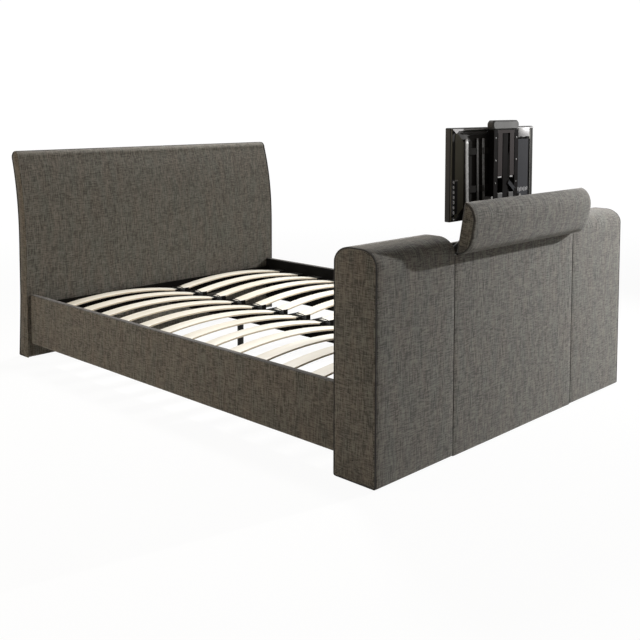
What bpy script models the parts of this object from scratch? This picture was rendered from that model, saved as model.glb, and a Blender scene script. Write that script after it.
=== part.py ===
"""Television bed: an upholstered king size bed whose footboard is a hollow box.

A telescopic lift inside the footboard raises a flat television past a hinged, padded lid.
The origin lies on the floor under the middle of the footboard. X runs across the bed,
Y runs from the footboard to the headboard and Z is up. All sizes are in metres, and the
lift stands raised with the lid open, as the bed is shown.
"""
import math

import bmesh
import bpy
from mathutils import Matrix, Vector

# Driving dimensions of the bed
FRAME_WIDTH = 1.570
FOOT_OVERHANG = 0.030
HEAD_OVERHANG = 0.0175
FOOT_DEPTH = 0.186
FOOT_HEIGHT = 0.775
BED_LENGTH = 2.043
HEAD_HEIGHT = 1.000
LID_SPAN = 0.804
HINGE_DROP = 0.058
LID_OPEN_ANGLE = math.radians(100)

# Driving dimensions of the television and its lift
TV_WIDTH = 0.556
TV_HEIGHT = 0.345
TV_DEPTH = 0.0425
TV_RAISED = 0.083
TV_OFFSET = 0.030
MAST_OFFSET = 0.040
MAST_FRONT = -0.005
MAST_RAISED = 0.418
CAP_HEIGHT = 0.036

# Clearances shared by all pieces
GAP = 0.0003
SLIDE_GAP = 0.0005
OVERRUN = 0.010
EMBED = 0.001
PAD_BEVEL = 0.004

# Footboard: rounded crown, boards round the well
CROWN_DEPTH = 0.070
CROWN_RISE = 0.056
CROWN_STEPS = 8
PANEL_THICK = 0.018
BASE_THICK = 0.018

# Lid: a padded shell, open below
LID_WALL = 0.014
LID_END_GAP = 0.002
LID_RIM = 0.0017

# Long hinge between the outer panel and the lid
KNUCKLE_RADIUS = 0.0032
KNUCKLE_RELIEF = 0.0040
KNUCKLE_BORE = 0.0014
KNUCKLE_SPACE = 0.0004
KNUCKLE_COUNT = 9
HINGE_PIN_RADIUS = 0.0012
LEAF_THICK = 0.0012
LEAF_OFFSET = 0.0002
LEAF_WIDTH = 0.014
HINGE_END_MARGIN = 0.010

# Lid stays: a tube and a rod at each end of the well
STAY_IN_FROM_SEAM = 0.030
STAY_FOOT_Y = 0.057
STAY_FOOT_DROP = 0.097
STAY_LID_REACH = 0.066
STAY_LID_INSET = 0.008
STAY_TUBE_RADIUS = 0.0095
STAY_TUBE_LENGTH = 0.125
STAY_TUBE_FLOOR = 0.012
STAY_ROD_RADIUS = 0.0040
STAY_ROD_LENGTH = 0.120
STAY_EYE_RADIUS = 0.0070
STAY_PIN_RADIUS = 0.0045
STAY_NECK_RADIUS = 0.0060

# Headboard: straight below, leaning back above, a little wider at the foot
HEAD_THICK = 0.064
HEAD_TOP_THICK = 0.056
HEAD_CURVE_START = 0.500
HEAD_LEAN = 0.074
HEAD_LEAN_POWER = 2.4
HEAD_CROWN = 0.030
HEAD_FOOT_FLARE = 0.020
HEAD_FLARE_HEIGHT = 0.300
HEAD_FLARE_POWER = 1.2
HEAD_CURVE_STEPS = 9
HEAD_CROWN_STEPS = 8
HEAD_FLARE_STEPS = 5

# Side rails, bearers and cross rails
RAIL_THICK = 0.030
RAIL_TOP = 0.308
RAIL_BOTTOM = 0.070
BEARER_WIDTH = 0.030
BEARER_TOP = 0.225
BEARER_HEIGHT = 0.035
CROSS_THICK = 0.025
CROSS_TOP = 0.235
CROSS_HEIGHT = 0.070
CENTRE_WIDTH = 0.040
CENTRE_HEIGHT = 0.060
LEG_RADIUS = 0.0155
LEG_FOOT_RADIUS = 0.024
LEG_FOOT_HEIGHT = 0.014
LEG_SPACING = 0.767
LEG_COUNT = 2
TURN_STEPS = 20

# Sprung slats and their holders
SLAT_COUNT = 13
SLAT_PITCH = 0.1527
FIRST_SLAT_FROM_HEAD = 0.130
SLAT_WIDTH = 0.068
SLAT_THICK = 0.008
SLAT_BOW = 0.036
SLAT_STEPS = 10
HOLDER_WALL = 0.003
HOLDER_END = 0.005
HOLDER_REACH = 0.040
HOLDER_FLOOR = 0.012
HOLDER_HEIGHT = 0.028
CENTRE_HOLDER_REACH = 0.045

# Lift column, fixed in the well
FOOT_PLATE_THICK = 0.008
FOOT_PLATE_SIDE = 0.025
FOOT_PLATE_CLEAR = 0.0005
CHANNEL_WALL = 0.003
CHANNEL_DROP = 0.057
MOTOR_RADIUS = 0.028
MOTOR_LENGTH = 0.135
MOTOR_ROUND = 0.006
GEARBOX_WIDTH = 0.070
GEARBOX_HEIGHT = 0.040
GEARBOX_BEVEL = 0.004

# Middle stage of the lift: two C channels that the mast and its cap run between
STAGE_CHANNEL = 0.0125
STAGE_WALL = 0.002
STAGE_RAISED = 0.168
STAGE_PLATE_DROP = 0.045
STAGE_CLEARANCE = 0.052

# Mast that carries the television
POST_INNER = 0.058
POST_OUTER = 0.083
POST_DEPTH = 0.025
POST_WALL = 0.0025
SHOE_HEIGHT = 0.050
TUBE_WIDTH = 0.040
TUBE_DEPTH = 0.018
TUBE_WALL = 0.0015
TUBE_ROUND = 0.004
TUBE_ROUND_STEPS = 3
TUBE_FROM_MAST_FRONT = 0.0125
BACK_STRAP_THICK = 0.0025
BACK_STRAP_HEIGHT = 0.085
GUIDE_INNER = 0.0255
GUIDE_OUTER = 0.055
GUIDE_THICK = 0.002
GUIDE_SETBACK = 0.0005
GUIDE_LENGTH = 0.175
GUIDE_BRIDGE = 0.012
CAP_WIDTH = 0.180
CAP_DEPTH = 0.030
CAP_EDGE = 0.011
CAP_CORNER = 0.016
CAP_CORNER_STEPS = 5
LOWERED_CLEARANCE = 0.0097

# Bracket between the mast and the television
BRACKET_RAIL_HEIGHT = 0.025
BRACKET_RAIL_THICK = 0.003
BRACKET_RAIL_SPACING = 0.140
BRACKET_RAIL_LENGTH = 0.434
BRACKET_LOWER_RAIL = 0.105
ARM_WIDTH = 0.022
ARM_THICK = 0.0038
ARM_LENGTH = 0.270
ARM_BOTTOM = 0.035
ARM_SPACING = 0.412
STILES = ((0.1135, 0.016), (0.1515, 0.012))

# Television: bezel, screen, back cover with a raised housing, socket panel
BEZEL_DEPTH = 0.024
BEZEL_SIDE = 0.019
BEZEL_ENDS = 0.0205
BEZEL_ROUND = 0.003
SCREEN_SETBACK = 0.003
SCREEN_THICK = 0.008
COVER_EDGE = 0.002
COVER_RIM = 0.004
COVER_RIM_WIDTH = 0.004
HOUSING_IN_SIDE = 0.022
HOUSING_IN_TOP = 0.006
HOUSING_SIDE_SLOPE = 0.034
HOUSING_END_SLOPE = 0.045
VENT_COUNT = 9
VENT_WIDTH = 0.006
VENT_DEPTH = 0.0025
VENT_PITCH = 0.024
VENT_LENGTH = 0.150
SOCKET_PANEL_WIDTH = 0.0185
SOCKET_PANEL_HEIGHT = 0.131
SOCKET_PANEL_THICK = 0.004
SOCKET_PANEL_IN = 0.0005
SOCKET_PANEL_BOTTOM = 0.026
SOCKET_COUNT = 7
SOCKET_RADIUS = 0.0045
SOCKET_DEPTH = 0.002
SOCKET_STEPS = 12

# Places worked out from the sizes above
FOOT_WIDTH = FRAME_WIDTH + 2 * FOOT_OVERHANG
HEAD_WIDTH = FRAME_WIDTH + 2 * HEAD_OVERHANG
HINGE_Z = FOOT_HEIGHT - HINGE_DROP
OUTER_Y = -FOOT_DEPTH / 2
INNER_Y = FOOT_DEPTH / 2
WELL_OUTER_Y = OUTER_Y + PANEL_THICK
WELL_INNER_Y = INNER_Y - PANEL_THICK
SEAM_X = LID_SPAN / 2
HEAD_FRONT_Y = INNER_Y + BED_LENGTH
RAIL_INNER_X = FRAME_WIDTH / 2 - RAIL_THICK
HOLDER_TOP_X = RAIL_INNER_X - GAP
SLAT_SEAT = BEARER_TOP + HOLDER_FLOOR
PLATE_TOP = BASE_THICK + GAP + FOOT_PLATE_THICK
TV_BOTTOM = HINGE_Z + TV_RAISED
TV_TOP = TV_BOTTOM + TV_HEIGHT
LOWERED_BOTTOM = PLATE_TOP + LOWERED_CLEARANCE
LIFT_TRAVEL = TV_BOTTOM - LOWERED_BOTTOM
MAST_BACK = MAST_FRONT + POST_DEPTH
MAST_TOP = HINGE_Z + MAST_RAISED
TUBE_Y = MAST_FRONT + TUBE_FROM_MAST_FRONT
STAGE_INNER = CAP_WIDTH / 2 + SLIDE_GAP
STAGE_OUTER = STAGE_INNER + STAGE_CHANNEL
STAGE_FRONT = MAST_FRONT - SLIDE_GAP - STAGE_WALL
STAGE_BACK = MAST_BACK - SLIDE_GAP
STAGE_TOP = HINGE_Z + STAGE_RAISED
STAGE_BOTTOM = PLATE_TOP + STAGE_CLEARANCE + LIFT_TRAVEL / 2
CHANNEL_TOP = HINGE_Z - CHANNEL_DROP
BRACKET_BACK = MAST_BACK + GAP + BRACKET_RAIL_THICK + ARM_THICK
TV_BACK = BRACKET_BACK + GAP
TV_FRONT = TV_BACK + TV_DEPTH
BEZEL_BACK = TV_FRONT - BEZEL_DEPTH
COVER_FRONT = BEZEL_BACK - GAP
COVER_RIM_Y = COVER_FRONT - COVER_RIM

# Finishes: colour, metallic, roughness
LINEN = ((0.115, 0.100, 0.084), 0.0, 0.95)
BIRCH = ((0.72, 0.66, 0.52), 0.0, 0.55)
BLACK_BOARD = ((0.020, 0.019, 0.018), 0.0, 0.85)
BLACK_STEEL = ((0.016, 0.016, 0.017), 0.6, 0.45)
ZINC_STEEL = ((0.42, 0.41, 0.40), 0.9, 0.38)
BLACK_PLASTIC = ((0.014, 0.014, 0.014), 0.0, 0.40)
GREY_PLASTIC = ((0.20, 0.20, 0.20), 0.0, 0.50)
SCREEN_GLASS = ((0.006, 0.006, 0.008), 0.0, 0.08)


def clear_scene():
    for thing in list(bpy.data.objects):
        bpy.data.objects.remove(thing, do_unlink=True)


def give_finish(thing, finish):
    colour, metallic, roughness = finish
    material = bpy.data.materials.new(thing.name + " finish")
    material.use_nodes = True
    shader = material.node_tree.nodes["Principled BSDF"]
    shader.inputs["Base Color"].default_value = (*colour, 1.0)
    shader.inputs["Metallic"].default_value = metallic
    shader.inputs["Roughness"].default_value = roughness
    thing.data.materials.append(material)


def make_object(name, shape, finish=None, place=None, smooth_angle=None):
    """Turn a bmesh into a named object; a piece without a finish is a cutter."""
    bmesh.ops.recalc_face_normals(shape, faces=shape.faces)
    mesh = bpy.data.meshes.new(name)
    shape.to_mesh(mesh)
    shape.free()
    if smooth_angle:
        mesh.shade_smooth()
        mesh.set_sharp_from_angle(angle=smooth_angle)
    thing = bpy.data.objects.new(name, mesh)
    bpy.context.collection.objects.link(thing)
    if place:
        thing.matrix_world = place
    if finish:
        give_finish(thing, finish)
    else:
        thing.hide_render = True
        thing.display_type = "WIRE"
    return thing


def apply_boolean(thing, operation, other):
    modifier = thing.modifiers.new(operation.lower() + " " + other.name, "BOOLEAN")
    modifier.operation = operation
    modifier.object = other
    modifier.solver = "EXACT"


def bevel(thing, width, segments=2, angle=math.radians(50)):
    modifier = thing.modifiers.new("rounded edges", "BEVEL")
    modifier.width = width
    modifier.segments = segments
    modifier.limit_method = "ANGLE"
    modifier.angle_limit = angle


def point_on(axis, u, v, along):
    """Place an outline point (u, v): across X it is (y, z), across Y (x, z), across Z (x, y)."""
    if axis == "X":
        return Vector((along, u, v))
    if axis == "Y":
        return Vector((u, along, v))
    return Vector((u, v, along))


def add_loft(shape, axis, sections):
    """Join outlines of equal point count, each (outline, distance along the axis)."""
    rings = []
    for outline, along in sections:
        rings.append([shape.verts.new(point_on(axis, u, v, along)) for u, v in outline])
    for low, high in zip(rings, rings[1:]):
        count = len(low)
        for index in range(count):
            after = (index + 1) % count
            shape.faces.new((low[index], low[after], high[after], high[index]))
    shape.faces.new(rings[0])
    shape.faces.new(list(reversed(rings[-1])))


def add_prism(shape, axis, outline, start, end):
    add_loft(shape, axis, [(outline, start), (outline, end)])


def rectangle(left, right, low, high):
    return [(left, low), (right, low), (right, high), (left, high)]


def add_block(shape, low, high):
    add_prism(shape, "Z", rectangle(low[0], high[0], low[1], high[1]), low[2], high[2])


def prism_object(name, axis, outline, start, end, finish=None, place=None, smooth_angle=None):
    shape = bmesh.new()
    add_prism(shape, axis, outline, start, end)
    return make_object(name, shape, finish, place, smooth_angle)


def block_object(name, low, high, finish=None):
    shape = bmesh.new()
    add_block(shape, low, high)
    return make_object(name, shape, finish)


def add_turned(shape, profile, steps, place):
    """Turn (radius, height) points round Z; the first and last points lie on the axis."""
    rings = []
    for radius, height in profile:
        if radius == 0:
            rings.append([shape.verts.new(place @ Vector((0, 0, height)))])
            continue
        ring = []
        for index in range(steps):
            turn = math.tau * index / steps
            spot = Vector((radius * math.cos(turn), radius * math.sin(turn), height))
            ring.append(shape.verts.new(place @ spot))
        rings.append(ring)
    for low, high in zip(rings, rings[1:]):
        for index in range(steps):
            after = (index + 1) % steps
            corners = [low[index % len(low)], low[after % len(low)],
                       high[after % len(high)], high[index % len(high)]]
            shape.faces.new(list(dict.fromkeys(corners)))


def rod_profile(radius, start, end):
    return [(0, start), (radius, start), (radius, end), (0, end)]


def along_x(x, y, z):
    """A frame whose Z axis runs along the bed's X axis."""
    return Matrix.Translation((x, y, z)) @ Matrix.Rotation(math.pi / 2, 4, "Y")


def rounded_rectangle(width, depth, corner, steps, centre=(0, 0)):
    points = []
    for quarter in range(4):
        sign_u = 1 if quarter in (0, 3) else -1
        sign_v = 1 if quarter in (0, 1) else -1
        middle_u = centre[0] + sign_u * (width / 2 - corner)
        middle_v = centre[1] + sign_v * (depth / 2 - corner)
        for step in range(steps + 1):
            turn = math.pi / 2 * (quarter + step / steps)
            points.append((middle_u + corner * math.cos(turn), middle_v + corner * math.sin(turn)))
    return points


def crown_arc(inset, base_y, base_z):
    """Crown of the footboard's section from the outer side to the inner side."""
    round_y = CROWN_DEPTH - inset
    round_z = CROWN_RISE - inset
    points = []
    for side in (-1, 1):
        middle = side * (FOOT_DEPTH / 2 - CROWN_DEPTH)
        for step in range(CROWN_STEPS + 1):
            turn = math.pi / 2 * step / CROWN_STEPS
            turn = math.pi - turn if side < 0 else math.pi / 2 - turn
            y = middle + round_y * math.cos(turn)
            z = FOOT_HEIGHT - CROWN_RISE + round_z * math.sin(turn)
            points.append((y - base_y, z - base_z))
    return points


def make_towers():
    """The two closed, upholstered boxes at the ends of the footboard."""
    outline = [(OUTER_Y, 0)] + crown_arc(0, 0, 0) + [(INNER_Y, 0)]
    for side, label in ((-1, "left"), (1, "right")):
        ends = sorted((side * SEAM_X, side * FOOT_WIDTH / 2))
        tower = prism_object("footboard_" + label + "_tower", "X", outline, *ends, finish=LINEN,
                             smooth_angle=math.radians(35))
        bevel(tower, PAD_BEVEL)


def relief_arc(start, end):
    """Quarter round that keeps a corner clear of the hinge's knuckles."""
    steps = 3
    turns = [start + (end - start) * step / steps for step in range(steps + 1)]
    return [(KNUCKLE_RELIEF * math.cos(turn), KNUCKLE_RELIEF * math.sin(turn)) for turn in turns]


def make_well_boards():
    """Outer and inner panels between the towers, and the base board that carries the lift."""
    half = SEAM_X - GAP
    top = -(LEAF_OFFSET + LEAF_THICK + GAP)
    low_turn = -math.pi / 2
    high_turn = math.asin(top / KNUCKLE_RELIEF)
    relief = [(OUTER_Y + y, HINGE_Z + z) for y, z in relief_arc(low_turn, high_turn)]
    outline = [(WELL_OUTER_Y, HINGE_Z + top), (WELL_OUTER_Y, 0), (OUTER_Y, 0)] + relief
    prism_object("footboard_outer_panel", "X", outline, -half, half, finish=LINEN)
    inner = block_object("footboard_inner_panel", (-half, WELL_INNER_Y, 0),
                         (half, INNER_Y, HINGE_Z), LINEN)
    bevel(inner, PAD_BEVEL)
    block_object("footboard_base_board", (-half, WELL_OUTER_Y + GAP, 0),
                 (half, WELL_INNER_Y - GAP, BASE_THICK), BLACK_BOARD)


def lid_place():
    return Matrix.Translation((0, OUTER_Y, HINGE_Z)) @ Matrix.Rotation(LID_OPEN_ANGLE, 4, "X")


def make_lid():
    """The lid is the crown of the footboard cut off at the hinge line and hollowed from below."""
    end = SEAM_X - LID_END_GAP
    rim_turn = math.asin(LID_RIM / KNUCKLE_RELIEF)
    crown = crown_arc(0, OUTER_Y, HINGE_Z)[1:-1]
    outline = relief_arc(rim_turn, math.pi / 2) + crown + [(FOOT_DEPTH, LID_RIM)]
    lid = prism_object("footboard_lid", "X", outline, -end, end, finish=LINEN,
                       place=lid_place(), smooth_angle=math.radians(35))
    hollow = crown_arc(LID_WALL, OUTER_Y, HINGE_Z)
    hollow = [(LID_WALL, -OVERRUN)] + hollow + [(FOOT_DEPTH - LID_WALL, -OVERRUN)]
    cutter = prism_object("lid hollow", "X", hollow, -end + LID_WALL, end - LID_WALL,
                          place=lid_place())
    apply_boolean(lid, "DIFFERENCE", cutter)


def knuckle_spans():
    """Start and end of each knuckle along the hinge."""
    length = LID_SPAN - 2 * HINGE_END_MARGIN
    pitch = length / KNUCKLE_COUNT
    start = -length / 2
    spans = []
    for index in range(KNUCKLE_COUNT):
        low = start + index * pitch + KNUCKLE_SPACE / 2
        spans.append((low, low + pitch - KNUCKLE_SPACE))
    return spans


def make_hinge():
    """A long hinge: the fixed leaf holds the pin, and the lid's knuckles turn on it."""
    spans = knuckle_spans()
    first, last = spans[0][0], spans[-1][1]
    fixed_place = Matrix.Translation((0, OUTER_Y, HINGE_Z))
    for name, side, chosen, place in (
            ("hinge_fixed_leaf", -1, spans[0::2], fixed_place),
            ("hinge_lid_leaf", 1, spans[1::2], lid_place())):
        near, far = sorted((side * LEAF_OFFSET, side * (LEAF_OFFSET + LEAF_THICK)))
        leaf = bmesh.new()
        add_block(leaf, (first, KNUCKLE_RELIEF, near), (last, KNUCKLE_RELIEF + LEAF_WIDTH, far))
        leaf = make_object(name, leaf, BLACK_STEEL, place)
        tabs = bmesh.new()
        knuckles = bmesh.new()
        bores = bmesh.new()
        for low, high in chosen:
            add_block(tabs, (low, KNUCKLE_RADIUS / 2, near), (high, KNUCKLE_RELIEF + EMBED, far))
            add_turned(knuckles, rod_profile(KNUCKLE_RADIUS, low, high), SOCKET_STEPS,
                       along_x(0, 0, 0))
            bore = rod_profile(KNUCKLE_BORE, low - KNUCKLE_SPACE / 4, high + KNUCKLE_SPACE / 4)
            add_turned(bores, bore, SOCKET_STEPS, along_x(0, 0, 0))
        apply_boolean(leaf, "UNION", make_object(name + " tabs", tabs, place=place))
        apply_boolean(leaf, "UNION", make_object(name + " knuckles", knuckles, place=place))
        if side > 0:
            apply_boolean(leaf, "DIFFERENCE", make_object(name + " bores", bores, place=place))
            continue
        bores.free()
        pin = bmesh.new()
        add_turned(pin, rod_profile(HINGE_PIN_RADIUS, first + EMBED, last - EMBED), SOCKET_STEPS,
                   along_x(0, 0, 0))
        apply_boolean(leaf, "UNION", make_object("hinge pin", pin, place=place))


def stay_ends():
    """Foot and head of a lid stay as (y, z) places."""
    foot = (STAY_FOOT_Y, HINGE_Z - STAY_FOOT_DROP)
    head = lid_place() @ Vector((0, STAY_LID_REACH, STAY_LID_INSET))
    return foot, (head.y, head.z)


def make_stays():
    """Telescopic stays: a tube that swings on the tower and a rod that reaches into the lid."""
    foot, head = stay_ends()
    tilt = math.atan2(head[1] - foot[1], head[0] - foot[0]) - math.pi / 2
    length = math.dist(foot, head)
    bore = STAY_ROD_RADIUS + GAP
    for side, label in ((-1, "left"), (1, "right")):
        middle_x = side * (SEAM_X - STAY_IN_FROM_SEAM)
        place = Matrix.Translation((middle_x, *foot)) @ Matrix.Rotation(tilt, 4, "X")
        tube = bmesh.new()
        profile = [(0, -STAY_EYE_RADIUS), (STAY_EYE_RADIUS, -STAY_EYE_RADIUS / 2),
                   (STAY_EYE_RADIUS, STAY_EYE_RADIUS), (STAY_TUBE_RADIUS, STAY_TUBE_FLOOR),
                   (STAY_TUBE_RADIUS, STAY_TUBE_LENGTH), (bore, STAY_TUBE_LENGTH),
                   (bore, STAY_TUBE_FLOOR), (0, STAY_TUBE_FLOOR)]
        add_turned(tube, profile, TURN_STEPS, Matrix.Identity(4))
        tube = make_object("stay_" + label + "_tube", tube, BLACK_STEEL, place,
                           smooth_angle=math.radians(35))
        reach = STAY_IN_FROM_SEAM - GAP
        add_stay_pin(tube, side, reach, place)
        top = place @ Matrix.Translation((0, 0, length))
        rod = bmesh.new()
        profile = [(0, -STAY_ROD_LENGTH), (STAY_ROD_RADIUS, -STAY_ROD_LENGTH),
                   (STAY_ROD_RADIUS, -STAY_EYE_RADIUS),
                   (STAY_NECK_RADIUS, -STAY_EYE_RADIUS), (STAY_NECK_RADIUS, STAY_EYE_RADIUS / 2),
                   (0, STAY_EYE_RADIUS)]
        add_turned(rod, profile, TURN_STEPS, Matrix.Identity(4))
        rod = make_object("stay_" + label + "_rod", rod, ZINC_STEEL, top,
                          smooth_angle=math.radians(35))
        reach = STAY_IN_FROM_SEAM - LID_END_GAP - LID_WALL - GAP
        add_stay_pin(rod, side, reach, top)


def add_stay_pin(thing, side, reach, place):
    """Cross pin of a stay's eye, ending just short of the wall that it turns against."""
    pin = bmesh.new()
    low, high = sorted((-side * STAY_PIN_RADIUS / 2, side * reach))
    add_turned(pin, rod_profile(STAY_PIN_RADIUS, low, high), SOCKET_STEPS, along_x(0, 0, 0))
    apply_boolean(thing, "UNION", make_object(thing.name + " pin", pin, place=place))


def head_front(height):
    if height <= HEAD_CURVE_START:
        return HEAD_FRONT_Y
    share = (height - HEAD_CURVE_START) / (HEAD_HEIGHT - HEAD_CURVE_START)
    return HEAD_FRONT_Y + HEAD_LEAN * share ** HEAD_LEAN_POWER


def head_back(height):
    if height <= HEAD_FLARE_HEIGHT:
        share = 1 - height / HEAD_FLARE_HEIGHT
        return HEAD_FRONT_Y + HEAD_THICK + HEAD_FOOT_FLARE * share ** HEAD_FLARE_POWER
    if height <= HEAD_CURVE_START:
        return HEAD_FRONT_Y + HEAD_THICK
    share = (height - HEAD_CURVE_START) / (HEAD_HEIGHT - HEAD_CURVE_START)
    return head_front(height) + HEAD_THICK + (HEAD_TOP_THICK - HEAD_THICK) * share


def make_headboard():
    """A padded board whose section leans back towards a rounded crown."""
    shoulder = HEAD_HEIGHT - HEAD_CROWN
    climb = [HEAD_CURVE_START + (shoulder - HEAD_CURVE_START) * step / HEAD_CURVE_STEPS
             for step in range(HEAD_CURVE_STEPS + 1)]
    outline = [(HEAD_FRONT_Y, 0)] + [(head_front(height), height) for height in climb]
    middle = (head_front(shoulder) + head_back(shoulder)) / 2
    half = (head_back(shoulder) - head_front(shoulder)) / 2
    for step in range(1, HEAD_CROWN_STEPS):
        turn = math.pi * (1 - step / HEAD_CROWN_STEPS)
        outline.append((middle + half * math.cos(turn), shoulder + HEAD_CROWN * math.sin(turn)))
    outline += [(head_back(height), height) for height in reversed(climb)]
    for step in range(HEAD_FLARE_STEPS + 1):
        height = HEAD_FLARE_HEIGHT * (1 - step / HEAD_FLARE_STEPS)
        outline.append((head_back(height), height))
    board = prism_object("headboard", "X", outline, -HEAD_WIDTH / 2, HEAD_WIDTH / 2,
                         finish=LINEN, smooth_angle=math.radians(35))
    bevel(board, PAD_BEVEL)


def make_frame():
    """Side rails, cross rails and the legs under the centre rail."""
    start, end = INNER_Y + GAP, HEAD_FRONT_Y - GAP
    for side, label in ((-1, "left"), (1, "right")):
        low, high = sorted((side * RAIL_INNER_X, side * FRAME_WIDTH / 2))
        rail = block_object("side_rail_" + label, (low, start, RAIL_BOTTOM),
                            (high, end, RAIL_TOP), LINEN)
        bevel(rail, PAD_BEVEL)
    reach = RAIL_INNER_X - GAP
    for label, low in (("foot", start), ("head", end - CROSS_THICK)):
        block_object("cross_rail_" + label, (-reach, low, CROSS_TOP - CROSS_HEIGHT),
                     (reach, low + CROSS_THICK, CROSS_TOP), BLACK_BOARD)
    foot = LEG_FOOT_HEIGHT
    top = BEARER_TOP - CENTRE_HEIGHT - GAP
    profile = [(0, 0), (LEG_FOOT_RADIUS, 0), (LEG_FOOT_RADIUS, foot / 2), (LEG_RADIUS, foot),
               (LEG_RADIUS, top), (0, top)]
    middle = (INNER_Y + HEAD_FRONT_Y) / 2
    for index in range(LEG_COUNT):
        leg = bmesh.new()
        y = middle + LEG_SPACING * (index - (LEG_COUNT - 1) / 2)
        add_turned(leg, profile, TURN_STEPS, Matrix.Identity(4))
        make_object("centre_leg_" + str(index + 1), leg, BLACK_PLASTIC,
                    Matrix.Translation((0, y, 0)), math.radians(35))


def slat_places():
    """Y of each slat's middle, from the headboard towards the footboard."""
    first = HEAD_FRONT_Y - FIRST_SLAT_FROM_HEAD
    return [first - SLAT_PITCH * index for index in range(SLAT_COUNT)]


def holder_outline(y):
    """U shaped section of a slat holder across Y and Z."""
    inner = SLAT_WIDTH / 2 + SLIDE_GAP
    outer = inner + HOLDER_WALL
    low = BEARER_TOP - EMBED
    top = BEARER_TOP + HOLDER_HEIGHT
    return [(y - outer, low), (y + outer, low), (y + outer, top), (y + inner, top),
            (y + inner, SLAT_SEAT), (y - inner, SLAT_SEAT), (y - inner, top), (y - outer, top)]


def fit_holders(carrier, pockets, wall):
    """Fuse a row of holders onto a bearer: open pockets, closed by one end wall."""
    troughs = bmesh.new()
    walls = bmesh.new()
    outer = SLAT_WIDTH / 2 + SLIDE_GAP + HOLDER_WALL
    for y in slat_places():
        for start, end in pockets:
            add_prism(troughs, "X", holder_outline(y), start, end)
        add_block(walls, (wall[0], y - outer, BEARER_TOP - EMBED),
                  (wall[1], y + outer, BEARER_TOP + HOLDER_HEIGHT))
    apply_boolean(carrier, "UNION", make_object(carrier.name + " pockets", troughs))
    apply_boolean(carrier, "UNION", make_object(carrier.name + " end walls", walls))


def make_bearers():
    """Bearers along the side rails and the centre rail, each with its row of slat holders."""
    start = INNER_Y + CROSS_THICK + 2 * GAP
    end = HEAD_FRONT_Y - CROSS_THICK - 2 * GAP
    low = BEARER_TOP - BEARER_HEIGHT
    for side, label in ((-1, "left"), (1, "right")):
        back_x = side * HOLDER_TOP_X
        stop_x = side * (HOLDER_TOP_X - HOLDER_END)
        left, right = sorted((back_x, back_x - side * BEARER_WIDTH))
        bearer = block_object("slat_bearer_" + label, (left, start, low), (right, end, BEARER_TOP),
                              BLACK_BOARD)
        pocket = sorted((stop_x + side * EMBED, back_x - side * HOLDER_REACH))
        fit_holders(bearer, [pocket], sorted((back_x, stop_x)))
    centre = block_object("centre_rail", (-CENTRE_WIDTH / 2, start, BEARER_TOP - CENTRE_HEIGHT),
                          (CENTRE_WIDTH / 2, end, BEARER_TOP), BLACK_BOARD)
    half = HOLDER_END / 2
    fit_holders(centre, [(-CENTRE_HOLDER_REACH, EMBED - half), (half - EMBED, CENTRE_HOLDER_REACH)],
                (-half, half))


def make_slats():
    """Bowed birch slats in two rows; each end lies on its holder's floor."""
    outer_x = HOLDER_TOP_X - HOLDER_END - SLIDE_GAP
    inner_x = HOLDER_END / 2 + SLIDE_GAP
    length = outer_x - inner_x
    seat = SLAT_SEAT + GAP
    for side, label in ((-1, "left"), (1, "right")):
        for number, y in enumerate(slat_places(), start=1):
            sections = []
            for step in range(SLAT_STEPS + 1):
                share = step / SLAT_STEPS
                rise = SLAT_BOW * (1 - (2 * share - 1) ** 2)
                outline = rectangle(y - SLAT_WIDTH / 2, y + SLAT_WIDTH / 2, seat + rise,
                                    seat + rise + SLAT_THICK)
                sections.append((outline, side * (inner_x + length * share)))
            shape = bmesh.new()
            add_loft(shape, "X", sections)
            make_object("slat_" + label + "_" + str(number).zfill(2), shape, BIRCH)


def channel_outline(side, inner, outer, front, back, wall):
    """C section that opens towards the back, mirrored by its side."""
    points = [(inner, front), (outer, front), (outer, back), (outer - wall, back),
              (outer - wall, front + wall), (inner + wall, front + wall), (inner + wall, back),
              (inner, back)]
    return [(MAST_OFFSET + side * x, y) for x, y in points]


def make_lift_column():
    """Fixed part of the lift: a foot plate and a channel round the middle stage."""
    inner = STAGE_OUTER + SLIDE_GAP
    outer = inner + CHANNEL_WALL
    front = WELL_OUTER_Y + GAP
    half = outer + FOOT_PLATE_SIDE
    low = BASE_THICK + GAP
    column = block_object(
        "lift_column", (MAST_OFFSET - half, front, low),
        (MAST_OFFSET + half, WELL_INNER_Y - FOOT_PLATE_CLEAR, PLATE_TOP), BLACK_STEEL)
    section = [(-outer, front), (outer, front), (outer, STAGE_BACK), (inner, STAGE_BACK),
               (inner, front + CHANNEL_WALL), (-inner, front + CHANNEL_WALL),
               (-inner, STAGE_BACK), (-outer, STAGE_BACK)]
    section = [(MAST_OFFSET + x, y) for x, y in section]
    apply_boolean(column, "UNION", prism_object("column channel", "Z", section,
                                                PLATE_TOP - EMBED, CHANNEL_TOP))


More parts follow.
